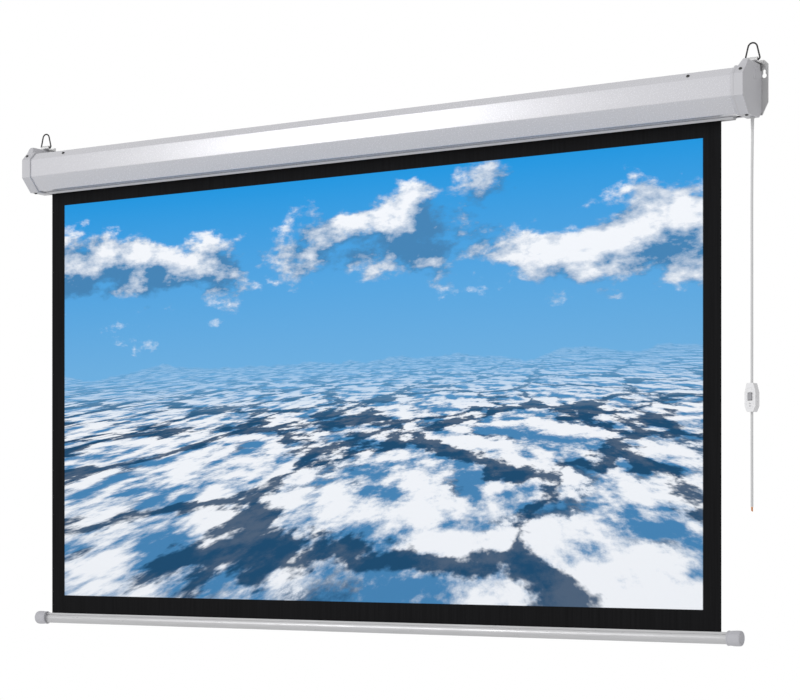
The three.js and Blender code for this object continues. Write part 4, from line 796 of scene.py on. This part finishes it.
def ring_line(steps=14):
    """The ring's line in its own plane: arcs at the two feet and the crown, joined by straight legs."""
    corner, crown = RING_BASE - RING_CORNER, RING_HEIGHT - RING_CROWN
    rise = crown - RING_CORNER
    side = np.arctan2(corner, rise) - np.arcsin((RING_CROWN - RING_CORNER) / np.hypot(corner, rise))
    arcs = [(corner, RING_CORNER, RING_CORNER, -np.pi / 2, side), (0, crown, RING_CROWN, side, np.pi - side),
            (-corner, RING_CORNER, RING_CORNER, np.pi - side, 1.5 * np.pi)]
    turns = [np.linspace(a, b, steps) for *_, a, b in arcs]
    return np.concatenate([np.stack([x + r * np.cos(t), z + r * np.sin(t)], -1)
                           for (x, z, r, _, _), t in zip(arcs, turns)])


def ring_shape(side):
    """A hanging ring: round wire along the ring's line, upright in the eye of its wall plate."""
    x, z = ring_line().T
    line = np.stack([side * (HALF_SPAN - EYE_INSET) + x, np.full(len(x), EYE_Y), EYE_Z + z], -1)
    rings = tube(line, WIRE_RADIUS, (0, 1, 0), sides=16, looped=True)
    return rings, grid_faces(*rings.shape[:2], around=True)


for side, end in ENDS:
    softened(f"cap_{end}", f"end_cap_{end}", CAP, "housing", edge=1.3)
    piece(f"cap_bead_{end}", cap_bead_shape(side), CAP, "housing", sharp=50)
    for number, place in enumerate(RIB_PLACES, 1):
        piece(f"cap_rib_{end}_{number}", cap_rib_shape(side, place), CAP, "housing")
    softened(f"wall_ear_{end}", f"wall_plate_{end}", PLATE, "housing", edge=0.35)
    piece(f"ring_{end}", ring_shape(side), RING, f"ring_{end}", [f"hanging_ring_{end}"],
          sharp=60)

# The weight bar


def bar_section():
    """The extrusion's outline, both sides: a lip, a notch and a face that swells as a power of a sine."""
    share = np.linspace(0, 1, 16)
    swell = np.sin(np.pi * (share * (1 - SWELL_START) + SWELL_START)) ** SWELL_POWER
    face = np.stack([FACE_HALF + FACE_SWELL * swell, FACE_TOP - FACE_DROP * share], -1)
    front = np.concatenate([BAR_LIP, face, BAR_FOOT])
    return np.concatenate([front * (-1, 1), front[::-1]]) + (SHEET_Y, BAR_TOP)


def bar_cap_shape(side, sides=96):
    """A bar cap: a profile turned about the bar's axis, and a pocket just wider than the bar all round."""
    angle = np.linspace(0, 2 * np.pi, sides, endpoint=False)
    corners = bar_section() - (SHEET_Y, BAR_AXIS_Z)
    share = np.linspace(0, 1, 12, endpoint=False)[:, None, None]
    outline = (corners * (1 - share) + np.roll(corners, -1, 0) * share).reshape(-1, 2)
    place = np.arctan2(outline[:, 1], outline[:, 0])
    pocket = np.interp(angle, place, np.hypot(*outline.T), period=2 * np.pi) + POCKET_PLAY
    rows = [(POCKET_FLOOR, pocket), (POCKET_LIP, pocket), (POCKET_MOUTH, pocket + POCKET_FLARE)]
    rows += BAR_CAP_PROFILE
    radius = np.array([np.broadcast_to(r, sides) for _, r in rows])
    along = np.array([[BAR_CENTRE + side * x] for x, _ in rows])
    return closed_skin(np.stack([np.broadcast_to(along, radius.shape), SHEET_Y + radius * np.cos(angle),
                                 BAR_AXIS_Z + radius * np.sin(angle)], -1))


bar_shape = closed_skin(carried_x(bar_section(), (BAR_CENTRE - BAR_REACH, BAR_CENTRE + BAR_REACH)))
piece("bar_extrusion", bar_shape, ALUMINIUM, "bar", ["weight_bar"], sharp=28)
for side, end in ENDS:
    piece(f"bar_end_{end}", bar_cap_shape(side), BAR_CAP, "bar", [f"bar_cap_{end}"],
          sharp=40)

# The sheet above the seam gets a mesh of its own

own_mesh(cloth)

# Screws, and the finishes of the CAD pieces that stay

for name in ("cap_screw_left_top", "cap_screw_right_top", "cap_screw_left_bottom", "cap_screw_right_bottom",
             "case_screw_left", "case_screw_right", "switch_screw"):
    softened(f"{name}_head", name, SCREW, "housing", edge=0.18, segments=2)
kept_slots = {row["node"]: row["material_slot"] for row in frame["record"]["subparts"]}
for name, thing in cad.items():
    if not thing.hide_render:
        thing.data.materials.clear()
        thing.data.materials.append(SLOT_FINISH[kept_slots[name]])

# Floor, light and background


def stage_floor():
    """A pale floor: white to the camera and in reflections, but near the screen it still takes the shadow.

    A share of its white also lights the undersides, as a studio's lit floor does.
    """
    f = Shading("floor_white")
    matt = f.node("ShaderNodeBsdfDiffuse", Color=grey(0.82))
    white = f.node("ShaderNodeEmission", Color=grey(1.0), Strength=1.0)
    away = f.node("ShaderNodeVectorMath", "Value", settings={"operation": "LENGTH"}, _0=f.place)
    paler = f.between(away, SHADOW_NEAR, SHADOW_FAR, SHADOW_WHITE, 1.0, smooth=True)
    share = f.math("MAXIMUM", f.math("MULTIPLY", f.in_sight(), paler), FLOOR_GLOW)
    mesh = bpy.data.meshes.new("floor")
    corners = ((-1, -1), (1, -1), (1, 1), (-1, 1))
    mesh.from_pydata([(x * FLOOR_REACH, y * FLOOR_REACH, FLOOR_Z) for x, y in corners], [], [(0, 1, 2, 3)])
    mesh.materials.append(f.ended(f.node("ShaderNodeMixShader", _0=share, _1=matt, _2=white)))
    shown("floor", mesh)


def softbox(name, place, aim, size, watts, mirrored):
    """A square soft lamp, turned to shine at a point; mirrored says whether glossy faces show it."""
    lamp = bpy.data.lights.new(name, "AREA")
    lamp.size = size
    lamp.energy = watts
    thing = shown(name, lamp)
    thing.location = place
    thing.visible_glossy = mirrored
    thing.rotation_euler = (Vector(aim) - Vector(place)).to_track_quat("-Z", "Y").to_euler()


def surroundings():
    """White to the camera and in reflections, and a dimmer even light on the object."""
    f = Shading("studio", bpy.data.worlds)
    even = f.node("ShaderNodeBackground", Color=(0.98, 0.975, 1, 1), Strength=0.4)
    white = f.node("ShaderNodeBackground", Color=grey(1.0), Strength=1.0)
    both = f.node("ShaderNodeMixShader", _0=f.in_sight(), _1=even, _2=white)
    bpy.context.scene.world = f.ended(both, "ShaderNodeOutputWorld")


stage_floor()
surroundings()
softbox("key_light", place=(-2.5, -3.9, 0.85), aim=(0, 0, -0.3), size=1.2, watts=30, mirrored=True)
softbox("fill_light", place=(1.2, -4.4, 2.3), aim=(0, 0, -0.4), size=2.4, watts=104, mirrored=False)
bpy.context.scene.view_settings.view_transform = "Standard"
